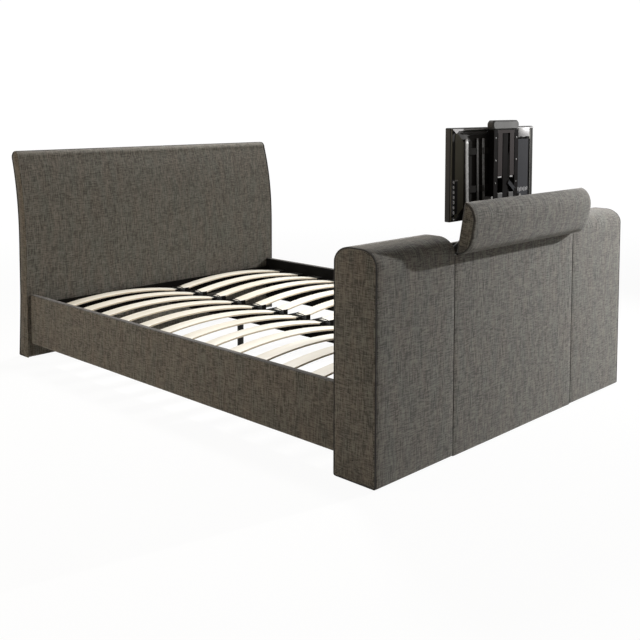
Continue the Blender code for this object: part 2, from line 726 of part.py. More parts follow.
def make_motor():
    """Gear motor that stands on the foot plate between the channel and the stage."""
    front = WELL_OUTER_Y + GAP + CHANNEL_WALL + GAP
    back = STAGE_FRONT - SLIDE_GAP
    middle = (front + back) / 2
    low = PLATE_TOP + GAP
    gearbox_top = low + GEARBOX_HEIGHT
    motor = block_object("lift_motor", (MAST_OFFSET - GEARBOX_WIDTH / 2, front, low),
                         (MAST_OFFSET + GEARBOX_WIDTH / 2, back, gearbox_top), BLACK_PLASTIC)
    bevel(motor, GEARBOX_BEVEL)
    top = gearbox_top + MOTOR_LENGTH
    profile = [(0, gearbox_top - EMBED), (MOTOR_RADIUS, gearbox_top - EMBED),
               (MOTOR_RADIUS, top - MOTOR_ROUND), (MOTOR_RADIUS - MOTOR_ROUND, top), (0, top)]
    body = bmesh.new()
    add_turned(body, profile, TURN_STEPS, Matrix.Identity(4))
    place = Matrix.Translation((MAST_OFFSET, middle, 0))
    apply_boolean(motor, "UNION", make_object("motor body", body, place=place))


def make_middle_stage():
    """Middle stage: a front plate folded into C channels that open towards the mast."""
    wall = STAGE_WALL
    plate_top = STAGE_TOP - STAGE_PLATE_DROP
    stage = block_object("lift_middle_stage",
                         (MAST_OFFSET - STAGE_INNER - EMBED, STAGE_FRONT, STAGE_BOTTOM),
                         (MAST_OFFSET + STAGE_INNER + EMBED, STAGE_FRONT + wall, plate_top),
                         ZINC_STEEL)
    points = [(STAGE_INNER, STAGE_FRONT), (STAGE_OUTER, STAGE_FRONT), (STAGE_OUTER, STAGE_BACK),
              (STAGE_INNER, STAGE_BACK), (STAGE_INNER, STAGE_BACK - wall),
              (STAGE_OUTER - wall, STAGE_BACK - wall), (STAGE_OUTER - wall, STAGE_FRONT + wall),
              (STAGE_INNER, STAGE_FRONT + wall)]
    for side, label in ((-1, "left"), (1, "right")):
        section = [(MAST_OFFSET + side * x, y) for x, y in points]
        apply_boolean(stage, "UNION", prism_object("stage channel " + label, "Z", section,
                                                   STAGE_BOTTOM, STAGE_TOP))


def tube_outline(inset):
    width = TUBE_WIDTH - 2 * inset
    depth = TUBE_DEPTH - 2 * inset
    corner = max(TUBE_ROUND - inset, TUBE_WALL / 2)
    return rounded_rectangle(width, depth, corner, TUBE_ROUND_STEPS, (MAST_OFFSET, TUBE_Y))


def make_mast():
    """Mast: two posts on shoes, tied by a back strap, with the rod, the guides and the cap."""
    low = TV_BOTTOM
    mast = bmesh.new()
    strap_front = MAST_BACK - BACK_STRAP_THICK
    add_block(mast, (MAST_OFFSET - POST_OUTER + POST_WALL / 2, strap_front,
                     MAST_TOP - BACK_STRAP_HEIGHT),
              (MAST_OFFSET + POST_OUTER - POST_WALL / 2, MAST_BACK, MAST_TOP - EMBED))
    mast = make_object("mast_frame", mast, BLACK_STEEL)
    shoe_front = STAGE_FRONT + STAGE_WALL + SLIDE_GAP
    shoe_back = STAGE_BACK - STAGE_WALL - SLIDE_GAP
    shoe_end = STAGE_OUTER - STAGE_WALL - SLIDE_GAP
    for side, label in ((-1, "left"), (1, "right")):
        section = channel_outline(side, POST_INNER, POST_OUTER, MAST_FRONT, MAST_BACK, POST_WALL)
        apply_boolean(mast, "UNION", prism_object("mast post " + label, "Z", section, low,
                                                  MAST_TOP))
        near, far = sorted((MAST_OFFSET + side * (POST_OUTER - EMBED),
                            MAST_OFFSET + side * shoe_end))
        apply_boolean(mast, "UNION", block_object("mast shoe " + label, (near, shoe_front, low),
                                                  (far, shoe_back, low + SHOE_HEIGHT)))
    rod = prism_object("mast_rod", "Z", tube_outline(0), low, MAST_TOP - GAP, BLACK_STEEL,
                       smooth_angle=math.radians(35))
    apply_boolean(rod, "DIFFERENCE", prism_object("rod bore", "Z", tube_outline(TUBE_WALL),
                                                  low - OVERRUN, MAST_TOP - OVERRUN))
    front = MAST_FRONT + GUIDE_SETBACK
    bottom = MAST_TOP - GUIDE_LENGTH
    top = MAST_TOP - GAP
    seat = POST_INNER - GAP
    half = [(GUIDE_INNER, top - GUIDE_BRIDGE), (GUIDE_INNER, bottom), (GUIDE_OUTER, bottom),
            (GUIDE_OUTER, top - GUIDE_BRIDGE), (seat, top - GUIDE_BRIDGE), (seat, top)]
    guide = half + [(-x, z) for x, z in reversed(half)]
    guide = [(MAST_OFFSET + x, z) for x, z in guide]
    prism_object("mast_guide", "Y", guide, front, front + GUIDE_THICK, ZINC_STEEL)


def make_cap():
    """Moulded cap on the mast; its edge is rounded where it pushes past the lid."""
    sections = []
    middle = (MAST_OFFSET, MAST_TOP + GAP + CAP_HEIGHT / 2)
    for inset, along in ((CAP_EDGE / 2, 0), (0, CAP_EDGE / 2), (0, CAP_DEPTH - CAP_EDGE / 2),
                         (CAP_EDGE / 2, CAP_DEPTH)):
        outline = rounded_rectangle(CAP_WIDTH - 2 * inset, CAP_HEIGHT - 2 * inset,
                                    CAP_CORNER - inset, CAP_CORNER_STEPS, middle)
        outline = [(x, max(z, MAST_TOP + GAP)) for x, z in outline]
        sections.append((outline, MAST_FRONT + along))
    cap = bmesh.new()
    add_loft(cap, "Y", sections)
    make_object("mast_cap", cap, GREY_PLASTIC, smooth_angle=math.radians(50))


def make_bracket():
    """Ladder bracket: two flat rails on the mast, arms on the television, stiles between."""
    front = MAST_BACK + GAP
    middle = front + BRACKET_RAIL_THICK
    arms = bmesh.new()
    uprights = [(TV_OFFSET + side * ARM_SPACING / 2, ARM_WIDTH) for side in (-1, 1)]
    uprights += [(MAST_OFFSET + side * x, width) for side in (-1, 1) for x, width in STILES]
    low = TV_BOTTOM + ARM_BOTTOM
    for x, width in uprights:
        add_block(arms, (x - width / 2, middle - EMBED, low),
                  (x + width / 2, middle + ARM_THICK, low + ARM_LENGTH))
    rails = []
    for name, finish, lift in (("tv_bracket", BLACK_STEEL, 0),
                               ("upper bracket rail", None, BRACKET_RAIL_SPACING)):
        low = TV_BOTTOM + BRACKET_LOWER_RAIL + lift
        rails.append(block_object(name, (TV_OFFSET - BRACKET_RAIL_LENGTH / 2, front, low),
                                  (TV_OFFSET + BRACKET_RAIL_LENGTH / 2, middle,
                                   low + BRACKET_RAIL_HEIGHT), finish))
    bracket, upper = rails
    apply_boolean(bracket, "UNION", make_object("bracket arms", arms))
    apply_boolean(bracket, "UNION", upper)


def tv_rectangle(inset_x, inset_z):
    half = TV_WIDTH / 2 - inset_x
    return rectangle(TV_OFFSET - half, TV_OFFSET + half, TV_BOTTOM + inset_z, TV_TOP - inset_z)


def make_tv():
    """Television: bezel frame, screen, back cover with its raised housing, socket panel."""
    bezel = prism_object("tv_bezel", "Y", tv_rectangle(0, 0), BEZEL_BACK, TV_FRONT, BLACK_PLASTIC)
    bevel(bezel, BEZEL_ROUND)
    apply_boolean(bezel, "DIFFERENCE", prism_object(
        "bezel opening", "Y", tv_rectangle(BEZEL_SIDE, BEZEL_ENDS), BEZEL_BACK - OVERRUN,
        TV_FRONT + OVERRUN))
    screen_front = TV_FRONT - SCREEN_SETBACK
    prism_object("tv_screen", "Y", tv_rectangle(BEZEL_SIDE + GAP, BEZEL_ENDS + GAP),
                 screen_front - SCREEN_THICK, screen_front, SCREEN_GLASS)
    rim_inset = COVER_EDGE + COVER_RIM_WIDTH
    side_foot = HOUSING_IN_SIDE + COVER_EDGE
    end_foot = HOUSING_IN_TOP + COVER_EDGE
    cover = bmesh.new()
    add_loft(cover, "Y", [
        (tv_rectangle(COVER_EDGE, COVER_EDGE), COVER_FRONT),
        (tv_rectangle(COVER_EDGE, COVER_EDGE), COVER_RIM_Y + COVER_EDGE),
        (tv_rectangle(rim_inset, rim_inset), COVER_RIM_Y),
        (tv_rectangle(side_foot, end_foot), COVER_RIM_Y),
        (tv_rectangle(side_foot + HOUSING_SIDE_SLOPE, end_foot + HOUSING_END_SLOPE), TV_BACK)])
    cover = make_object("tv_back_cover", cover, BLACK_PLASTIC)
    vents = bmesh.new()
    middle_z = (TV_BOTTOM + TV_TOP) / 2
    for index in range(VENT_COUNT):
        x = TV_OFFSET + VENT_PITCH * (index - (VENT_COUNT - 1) / 2)
        add_block(vents, (x - VENT_WIDTH / 2, TV_BACK - OVERRUN, middle_z - VENT_LENGTH / 2),
                  (x + VENT_WIDTH / 2, TV_BACK + VENT_DEPTH, middle_z + VENT_LENGTH / 2))
    apply_boolean(cover, "DIFFERENCE", make_object("cover vents", vents))
    make_socket_panel()


def make_socket_panel():
    """Upright strip of round sockets beside the raised housing."""
    left = TV_OFFSET - TV_WIDTH / 2 + SOCKET_PANEL_IN
    low = TV_BOTTOM + SOCKET_PANEL_BOTTOM
    back = COVER_RIM_Y - GAP
    panel = block_object("tv_socket_panel", (left, back - SOCKET_PANEL_THICK, low),
                         (left + SOCKET_PANEL_WIDTH, back, low + SOCKET_PANEL_HEIGHT),
                         GREY_PLASTIC)
    sockets = bmesh.new()
    pitch = SOCKET_PANEL_HEIGHT / SOCKET_COUNT
    for index in range(SOCKET_COUNT):
        middle = Vector((left + SOCKET_PANEL_WIDTH / 2, back - SOCKET_PANEL_THICK,
                         low + pitch * (index + 0.5)))
        place = Matrix.Translation(middle) @ Matrix.Rotation(-math.pi / 2, 4, "X")
        profile = rod_profile(SOCKET_RADIUS, -OVERRUN, SOCKET_DEPTH)
        add_turned(sockets, profile, SOCKET_STEPS, place)
    apply_boolean(panel, "DIFFERENCE", make_object("socket holes", sockets))


def build():
    clear_scene()
    make_towers()
    make_well_boards()
    make_lid()
    make_hinge()
    make_stays()
    make_headboard()
    make_frame()
    make_bearers()
    make_slats()
    make_lift_column()
    make_motor()
    make_middle_stage()
    make_mast()
    make_cap()
    make_bracket()
    make_tv()


build()
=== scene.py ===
"""Looks of the television bed: slub linen upholstery, bowed birch slats, and the lift with its
flat television. Everything is in metres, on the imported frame: X runs across the bed, Y from
the footboard to the headboard and Z is up."""

import math

import bmesh
import bpy
from mathutils import Matrix, Vector, noise


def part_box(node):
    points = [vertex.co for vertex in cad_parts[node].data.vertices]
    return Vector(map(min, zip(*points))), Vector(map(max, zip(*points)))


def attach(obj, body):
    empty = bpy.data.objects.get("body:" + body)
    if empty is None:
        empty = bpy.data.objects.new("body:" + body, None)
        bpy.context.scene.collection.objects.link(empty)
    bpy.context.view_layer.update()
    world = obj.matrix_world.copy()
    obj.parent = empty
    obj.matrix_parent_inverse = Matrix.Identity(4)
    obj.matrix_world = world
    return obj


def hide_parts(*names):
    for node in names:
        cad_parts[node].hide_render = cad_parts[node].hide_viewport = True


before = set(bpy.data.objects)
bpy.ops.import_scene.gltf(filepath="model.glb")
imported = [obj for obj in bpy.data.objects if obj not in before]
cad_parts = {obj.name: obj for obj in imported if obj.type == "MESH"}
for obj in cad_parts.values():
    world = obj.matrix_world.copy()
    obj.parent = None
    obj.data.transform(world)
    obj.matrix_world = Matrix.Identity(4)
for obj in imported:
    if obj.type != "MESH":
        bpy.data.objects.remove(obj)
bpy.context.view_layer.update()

# Sizes that the frame's nodes don't give by themselves
HINGE_Y = -0.093
HINGE_Z = 0.717
LID_ANGLE = math.radians(100)
CROWN_DEPTH = 0.070
CROWN_RISE = 0.056
FOOT_TOP = 0.775
FOOT_HALF_DEPTH = 0.093
LID_END = 0.400
LID_WALL = 0.014
SLAT_COUNT = 13
SLAT_PITCH = 0.1527
SLAT_WIDTH = 0.068
SLAT_THICK = 0.008
SLAT_BOW = 0.036
PIPING_RADIUS = 0.0029
HEAD_PIPING = 0.0042
SEAM_ROUND = 0.0032
EDGE_ROUND = 0.007
TOWER_ROUND = 0.011
PADDING_FOOT = 0.004
SHARP_ANGLE = math.radians(40)

# Headboard: it leans back above its bend and ends in a round crown
HEAD_FRONT = 2.136
HEAD_BEND = 0.5
HEAD_LEAN = 0.074
HEAD_LEAN_POWER = 2.4
HEAD_THICK = 0.064
HEAD_TAPER = 0.008
HEAD_CROWN_FOOT = 0.970
HEAD_CROWN_RISE = 0.0295

# Small parts
STAPLE_COUNT = 34
STAPLE_RUN = 0.72
STAPLE_INSET = 0.0165
SOCKET_COUNT = 7
RIB_COUNT = 26
COVER_RISE, COVER_RUN = 0.0142, 0.045
WING_LABEL = 0.888
LABEL_COUNT = 9
BOLT_COUNT = 4
BOLT_PITCH = 0.085

# Light of the studio
WHITE = 1.02
FLOOR_GLOW = 0.93
WORLD_LIGHT = 0.14
KEY_WATTS = 58.0
TOP_WATTS = 34.0
FILL_WATTS = 28.0


def add_node(tree, kind, sockets=None, **settings):
    """Add a node, set its properties and fill its sockets with values or links."""
    node = tree.nodes.new(kind)
    for name, value in settings.items():
        setattr(node, name, value)
    for name, value in (sockets or {}).items():
        if isinstance(value, bpy.types.NodeSocket):
            tree.links.new(value, node.inputs[name])
        else:
            node.inputs[name].default_value = value
    return node


def maths(tree, operation, first, second=0.0, clamp=False):
    return add_node(tree, "ShaderNodeMath", {0: first, 1: second}, operation=operation,
                    use_clamp=clamp).outputs[0]


def blend_colour(tree, share, low, high, mode="MIX"):
    return add_node(tree, "ShaderNodeMix", {0: share, 6: low, 7: high}, data_type="RGBA",
                    blend_type=mode).outputs[2]


def noise_of(tree, vector, scale, detail=2.0, rough=0.5):
    return add_node(tree, "ShaderNodeTexNoise", {
        "Vector": vector, "Scale": scale, "Detail": detail, "Roughness": rough}).outputs["Fac"]


def spread(tree, value, low, high, to_low=0.0, to_high=1.0):
    return add_node(tree, "ShaderNodeMapRange", {
        "Value": value, "From Min": low, "From Max": high, "To Min": to_low,
        "To Max": to_high}).outputs[0]


def scaled(tree, vector, scale):
    return add_node(tree, "ShaderNodeMapping", {"Vector": vector, "Scale": scale}).outputs[0]


def facing(tree, axis):
    """How far a face looks along an axis, from -1 to 1."""
    normal = tree.nodes.new("ShaderNodeNewGeometry").outputs["Normal"]
    return add_node(tree, "ShaderNodeSeparateXYZ", {"Vector": normal}).outputs[axis]


def seen_directly(tree):
    """1 for what is seen, also mirrored or through glass, and 0 for the light it throws."""
    kind = tree.nodes.new("ShaderNodeLightPath").outputs
    return maths(tree, "MAXIMUM", kind["Is Camera Ray"],
                 maths(tree, "MAXIMUM", kind["Is Glossy Ray"], kind["Is Transmission Ray"]))


def start_group(name, inputs, outputs, family="ShaderNodeTree"):
    """An empty node group with its sockets: each is (name, kind, starting value)."""
    tree = bpy.data.node_groups.new(name, family)
    for label, kind, value in inputs:
        socket = tree.interface.new_socket(label, in_out="INPUT", socket_type=kind)
        if value is not None:
            socket.default_value = value
    for label, kind in outputs:
        tree.interface.new_socket(label, in_out="OUTPUT", socket_type=kind)
    return tree, tree.nodes.new("NodeGroupInput").outputs, tree.nodes.new("NodeGroupOutput").inputs


NUMBER, COLOUR, POINT = "NodeSocketFloat", "NodeSocketColor", "NodeSocketVector"
GEOMETRY = "NodeSocketGeometry"


def make_linen_group():
    """Slub linen: single threads each way, thick slubs that run along some of them, and a slow
    mottle. The place on the cloth comes in metres."""
    tree, given, result = start_group(
        "Slub linen",
        [("Place", POINT, None), ("Thread", NUMBER, 0.0013), ("Slub", NUMBER, 0.0021),
         ("Contrast", NUMBER, 1.0), ("Dark", COLOUR, (0, 0, 0, 1)),
         ("Light", COLOUR, (1, 1, 1, 1))],
        [("Colour", COLOUR), ("Height", NUMBER), ("Slubs", NUMBER)])
    split = add_node(tree, "ShaderNodeSeparateXYZ", {"Vector": given["Place"]})
    across, along = split.outputs["X"], split.outputs["Y"]

    def yarns(place, run, pitch, length, shift, detail):
        index = maths(tree, "FLOOR", maths(tree, "DIVIDE", place, pitch))
        turned = maths(tree, "MULTIPLY", index, 7.31)
        joined = add_node(tree, "ShaderNodeCombineXYZ", {
            "X": turned, "Y": maths(tree, "DIVIDE", run, length), "Z": shift})
        return noise_of(tree, joined.outputs[0], 1.0, detail)

    def ridges(place, pitch):
        wave = maths(tree, "SINE", maths(tree, "MULTIPLY", place,
                                         maths(tree, "DIVIDE", math.pi, pitch)))
        return maths(tree, "ABSOLUTE", wave)

    warp = yarns(across, along, given["Thread"], 0.024, 0.0, 1.0)
    weft = yarns(along, across, given["Thread"], 0.020, 9.0, 1.0)
    warp_slub = yarns(across, along, given["Slub"], 0.050, 21.0, 1.0)
    weft_slub = yarns(along, across, given["Slub"], 0.038, 33.0, 1.0)
    mottle = noise_of(tree, given["Place"], 9.0, 3.0)
    fine = maths(tree, "ADD", warp, weft)
    coarse = maths(tree, "ADD", maths(tree, "MULTIPLY", warp_slub, 1.10),
                   maths(tree, "MULTIPLY", weft_slub, 0.90))
    total = maths(tree, "ADD", maths(tree, "MULTIPLY", maths(tree, "SUBTRACT", fine, 1.0), 1.55),
                  maths(tree, "MULTIPLY", maths(tree, "SUBTRACT", coarse, 1.0), 2.45))
    total = maths(tree, "ADD", total,
                  maths(tree, "MULTIPLY", maths(tree, "SUBTRACT", mottle, 0.5), 0.06))
    share = maths(tree, "ADD", maths(tree, "MULTIPLY", total, given["Contrast"]), 0.5, clamp=True)
    tree.links.new(blend_colour(tree, share, given["Dark"], given["Light"]), result["Colour"])
    over = maths(tree, "MAXIMUM", maths(tree, "MULTIPLY", ridges(across, given["Thread"]), warp),
                 maths(tree, "MULTIPLY", ridges(along, given["Thread"]), weft))
    height = maths(tree, "ADD", over, maths(tree, "MULTIPLY", coarse, 0.55))
    tree.links.new(height, result["Height"])
    tree.links.new(coarse, result["Slubs"])
    return tree


def make_wear_group():
    """Worn edges: a mask of the places where a rounded copy of the surface would turn away from
    it, broken up by noise."""
    tree, given, result = start_group(
        "Worn edges", [("Place", POINT, None), ("Reach", NUMBER, 0.0008), ("Grit", NUMBER, 180.0)],
        [("Worn", NUMBER)])
    rounded = add_node(tree, "ShaderNodeBevel", {"Radius": given["Reach"]}, samples=4)
    normal = tree.nodes.new("ShaderNodeNewGeometry").outputs["Normal"]
    alike = add_node(tree, "ShaderNodeVectorMath", {0: rounded.outputs[0], 1: normal},
                     operation="DOT_PRODUCT").outputs["Value"]
    grit = noise_of(tree, given["Place"], given["Grit"], 3.0)
    turned_away = maths(tree, "SUBTRACT", spread(tree, alike, 0.99, 0.85),
                        maths(tree, "MULTIPLY", grit, 0.6), clamp=True)
    tree.links.new(turned_away, result["Worn"])
    return tree


def make_dust_group():
    """Fine dust that settles on faces that look up."""
    tree, given, result = start_group(
        "Settled dust", [("Place", POINT, None), ("Amount", NUMBER, 0.3)], [("Dust", NUMBER)])
    flat = spread(tree, facing(tree, "Z"), 0.35, 1.0)
    patchy = spread(tree, noise_of(tree, given["Place"], 14.0, 4.0, 0.6), 0.3, 0.75)
    dust = maths(tree, "MULTIPLY", maths(tree, "MULTIPLY", flat, patchy), given["Amount"])
    tree.links.new(dust, result["Dust"])
    return tree


def make_birch_group():
    """Rotary cut birch: long soft flames along X, fine pores, and plies on the sawn edges."""
    tree, given, result = start_group(
        "Birch grain",
        [("Place", POINT, None), ("Shade", NUMBER, 0.5), ("Ply", NUMBER, 0.00115)],
        [("Colour", COLOUR), ("Height", NUMBER)])
    flames = noise_of(tree, scaled(tree, given["Place"], (2.2, 34.0, 34.0)), 1.0, 4.0, 0.55)
    pores = noise_of(tree, scaled(tree, given["Place"], (14.0, 520.0, 520.0)), 1.0, 2.0)
    split = add_node(tree, "ShaderNodeSeparateXYZ", {"Vector": given["Place"]})
    side = spread(tree, maths(tree, "ABSOLUTE", facing(tree, "Z")), 0.75, 0.45)
    plain = blend_colour(tree, spread(tree, flames, 0.30, 0.72), (0.79, 0.765, 0.67, 1),
                         (0.90, 0.885, 0.82, 1))
    plain = blend_colour(tree, maths(tree, "MULTIPLY", spread(tree, pores, 0.60, 0.85), 0.30),
                         plain, (0.60, 0.50, 0.36, 1))
    layer = maths(tree, "SINE", maths(tree, "MULTIPLY", split.outputs["Z"],
                                      maths(tree, "DIVIDE", math.pi, given["Ply"])))
    plies = blend_colour(tree, spread(tree, layer, -0.5, 0.5), (0.56, 0.45, 0.30, 1),
                         (0.72, 0.63, 0.47, 1))
    wood = blend_colour(tree, side, plain, plies)
    shaded = blend_colour(tree, spread(tree, given["Shade"], 0.0, 1.0, 0.0, 0.30), wood,
                          (0.70, 0.60, 0.45, 1))
    tree.links.new(shaded, result["Colour"])
    tree.links.new(maths(tree, "ADD", pores, maths(tree, "MULTIPLY", flames, 0.4)),
                   result["Height"])
    return tree


def make_grain_group():
    """Moulded grain or rolled metal: a fine pitted height and a slow change of gloss."""
    tree, given, result = start_group(
        "Fine grain", [("Place", POINT, None), ("Size", NUMBER, 900.0), ("Pull", POINT, (1, 1, 1))],
        [("Height", NUMBER), ("Smudge", NUMBER)])
    pulled = add_node(tree, "ShaderNodeVectorMath", {0: given["Place"], 1: given["Pull"]},
                      operation="MULTIPLY").outputs[0]
    tree.links.new(noise_of(tree, pulled, given["Size"], 2.0), result["Height"])
    tree.links.new(noise_of(tree, given["Place"], 9.0, 4.0, 0.6), result["Smudge"])
    return tree


LINEN_GROUP = make_linen_group()
WEAR_GROUP = make_wear_group()
DUST_GROUP = make_dust_group()
BIRCH_GROUP = make_birch_group()
GRAIN_GROUP = make_grain_group()


def use_group(tree, group, sockets):
    return add_node(tree, "ShaderNodeGroup", sockets, node_tree=group).outputs


def start_material(name, **shader_values):
    """A material with its Principled shader; plain numbers go straight on the shader."""
    material = bpy.data.materials.new(name)
    material.use_nodes = True
    tree = material.node_tree
    shader = tree.nodes["Principled BSDF"]
    for label, value in shader_values.items():
        shader.inputs[label.replace("_", " ")].default_value = value
    return material, tree, shader


def object_place(tree):
    return tree.nodes.new("ShaderNodeTexCoord").outputs["Object"]


def bump(tree, shader, height, strength, distance):
    node = add_node(tree, "ShaderNodeBump", {"Height": height, "Strength": strength,
                                             "Distance": distance})
    tree.links.new(node.outputs[0], shader.inputs["Normal"])


def make_linen(name, dark, light, contrast=1.0, seam_shade=0.35):
    """Linen over foam. A vertex mark darkens the cloth where it turns in at a seamed end: painted
    shade in the groove there.
    """
    material, tree, shader = start_material(name, Roughness=0.92, Sheen_Weight=0.22,
                                            Sheen_Roughness=0.45)
    place = add_node(tree, "ShaderNodeUVMap", uv_map="cloth").outputs[0]
    cloth = use_group(tree, LINEN_GROUP, {"Place": place, "Contrast": contrast,
                                          "Dark": (*dark, 1), "Light": (*light, 1)})
    seam = add_node(tree, "ShaderNodeAttribute", attribute_name="seam").outputs["Fac"]
    hue = spread(tree, noise_of(tree, scaled(tree, place, (26.0, 5.0, 5.0)), 1.0, 2.0), 0.36, 0.64)
    tinge = blend_colour(tree, hue, (0.955, 0.99, 0.95, 1), (1.05, 0.99, 0.93, 1))
    woven = blend_colour(tree, 1.0, cloth["Colour"], tinge, "MULTIPLY")
    # Painted shade: near a seamed end the cloth darkens towards a dark share of its own colour.
    shaded = blend_colour(tree, seam, woven,
                          tuple(value * seam_shade for value in dark) + (1,))
    dust = use_group(tree, DUST_GROUP, {"Place": object_place(tree), "Amount": 0.05})
    dusty = blend_colour(tree, dust["Dust"], shaded, (0.32, 0.30, 0.27, 1))
    tree.links.new(dusty, shader.inputs["Base Color"])
    tree.links.new(spread(tree, cloth["Slubs"], 0.6, 1.4, 0.96, 0.84), shader.inputs["Roughness"])
    bump(tree, shader, cloth["Height"], 0.35, 0.0007)
    return material


def make_lining(name, colour):
    """Black non-woven lining: fine felted fibres pressed in a dimpled grid."""
    material, tree, shader = start_material(name, Roughness=0.95, Sheen_Weight=0.02,
                                            Specular_IOR_Level=0.06)
    place = object_place(tree)
    fibres = noise_of(tree, place, 420.0, 4.0, 0.7)
    cells = add_node(tree, "ShaderNodeTexVoronoi", {"Vector": place, "Scale": 330.0}).outputs[0]
    lighter = tuple(value * 2.2 for value in colour)
    tree.links.new(blend_colour(tree, fibres, (*colour, 1), (*lighter, 1)),
                   shader.inputs["Base Color"])
    bump(tree, shader, maths(tree, "ADD", fibres, cells), 0.4, 0.0004)
    return material


def make_birch():
    material, tree, shader = start_material("Lacquered birch slat", Roughness=0.42,
                                            Coat_Weight=0.25, Coat_Roughness=0.22)
    place = object_place(tree)
    shade = add_node(tree, "ShaderNodeAttribute", attribute_name="slat_shade").outputs["Fac"]
    moved = add_node(tree, "ShaderNodeVectorMath", {0: place, 1: add_node(
        tree, "ShaderNodeCombineXYZ", {"X": maths(tree, "MULTIPLY", shade, 40.0)}).outputs[0]},
        operation="ADD").outputs[0]
    wood = use_group(tree, BIRCH_GROUP, {"Place": moved, "Shade": shade})
    tree.links.new(wood["Colour"], shader.inputs["Base Color"])
    tree.links.new(spread(tree, wood["Height"], 0.4, 1.0, 0.36, 0.55), shader.inputs["Roughness"])
    bump(tree, shader, wood["Height"], 0.15, 0.0003)
    return material


def make_hard_finish(name, colour, metallic, rough, grain=900.0, pull=(1, 1, 1), worn=None,
                     dust=0.0, depth=0.12, smudge=0.10, side=None, **more):
    """Paint, plastic or plated steel: grain, smudges of gloss, worn edges and dust. A side colour
    goes on what faces sideways: a painted highlight."""
    material, tree, shader = start_material(name, Metallic=metallic, Roughness=rough, **more)
    place = object_place(tree)
    fine = use_group(tree, GRAIN_GROUP, {"Place": place, "Size": grain, "Pull": pull})
    brighter = tuple(min(1.0, value * 1.45) for value in colour)
    shown = blend_colour(tree, fine["Smudge"], (*colour, 1), (*brighter, 1))
    # Painted highlight: faces that look along X take the side colour.
    if side:
        side_highlight_mask = spread(tree, maths(tree, "ABSOLUTE", facing(tree, "X")), 0.08, 0.18)
        shown = blend_colour(tree, side_highlight_mask, shown, (*side, 1))
    if worn:
        edge = use_group(tree, WEAR_GROUP, {"Place": place})
        shown = blend_colour(tree, maths(tree, "MULTIPLY", edge["Worn"], 0.8), shown, (*worn, 1))
    if dust:
        settled = use_group(tree, DUST_GROUP, {"Place": place, "Amount": dust})
        shown = blend_colour(tree, settled["Dust"], shown, (0.30, 0.29, 0.27, 1))
    tree.links.new(shown, shader.inputs["Base Color"])
    tree.links.new(spread(tree, fine["Smudge"], 0.25, 0.75, rough - smudge, rough + smudge),
                   shader.inputs["Roughness"])
    bump(tree, shader, fine["Height"], depth, 0.0003)
    return material


def make_zinc():
    """Plated steel: overlapping crystals of slightly different grey."""
    material, tree, shader = start_material("Zinc plated steel", Metallic=0.35, Roughness=0.50,
                                            Specular_IOR_Level=0.3)
    place = object_place(tree)
    crystals = add_node(tree, "ShaderNodeTexVoronoi", {"Vector": place, "Scale": 160.0})
    shade = add_node(tree, "ShaderNodeSeparateColor", {"Color": crystals.outputs["Color"]})
    fine = use_group(tree, GRAIN_GROUP, {"Place": place, "Size": 60.0, "Pull": (9, 9, 0.4)})
    grey = blend_colour(tree, shade.outputs[0], (0.13, 0.128, 0.125, 1), (0.22, 0.217, 0.213, 1))
    edge = use_group(tree, WEAR_GROUP, {"Place": place})
    grey = blend_colour(tree, maths(tree, "MULTIPLY", edge["Worn"], 0.5), grey,
                        (0.46, 0.45, 0.43, 1))
    tree.links.new(grey, shader.inputs["Base Color"])
    tree.links.new(spread(tree, fine["Smudge"], 0.2, 0.8, 0.44, 0.60), shader.inputs["Roughness"])
    bump(tree, shader, fine["Height"], 0.10, 0.0003)
    return material


def make_screen_glass():
    material, tree, shader = start_material("Dark display glass", Roughness=0.12, Coat_Weight=0.5,
                                            Coat_Roughness=0.06)
    place = object_place(tree)
    fine = use_group(tree, GRAIN_GROUP, {"Place": place, "Size": 2400.0})
    tree.links.new(blend_colour(tree, fine["Smudge"], (0.004, 0.004, 0.006, 1),
                                (0.010, 0.010, 0.013, 1)), shader.inputs["Base Color"])
    tree.links.new(spread(tree, fine["Smudge"], 0.3, 0.8, 0.10, 0.20), shader.inputs["Roughness"])
    bump(tree, shader, fine["Height"], 0.02, 0.0001)
    return material


def make_floor_material():
    """Pale floor: it glows for the camera so that it meets the white backdrop, and stays a plain
    matt floor for all the light that it throws back."""
    material = bpy.data.materials.new("Pale studio floor")
    material.use_nodes = True
    tree = material.node_tree
    tree.nodes.clear()
    place = object_place(tree)
    grain = noise_of(tree, place, 3.0, 4.0)
    colour = blend_colour(tree, grain, (0.80, 0.80, 0.79, 1), (0.84, 0.84, 0.83, 1))
    matt = add_node(tree, "ShaderNodeBsdfDiffuse", {"Color": colour}).outputs[0]
    glow = add_node(tree, "ShaderNodeEmission", {"Color": (1, 1, 1, 1), "Strength": WHITE})
    seen = seen_directly(tree)
    away = add_node(tree, "ShaderNodeVectorMath", {0: place}, operation="LENGTH").outputs["Value"]
    share = maths(tree, "MULTIPLY", seen, spread(tree, away, 3.0, 7.0, FLOOR_GLOW, 1.0))
    mixed = add_node(tree, "ShaderNodeMixShader", {0: share, 1: matt, 2: glow.outputs[0]})
    output = tree.nodes.new("ShaderNodeOutputMaterial")
    tree.links.new(mixed.outputs[0], output.inputs["Surface"])
    return material


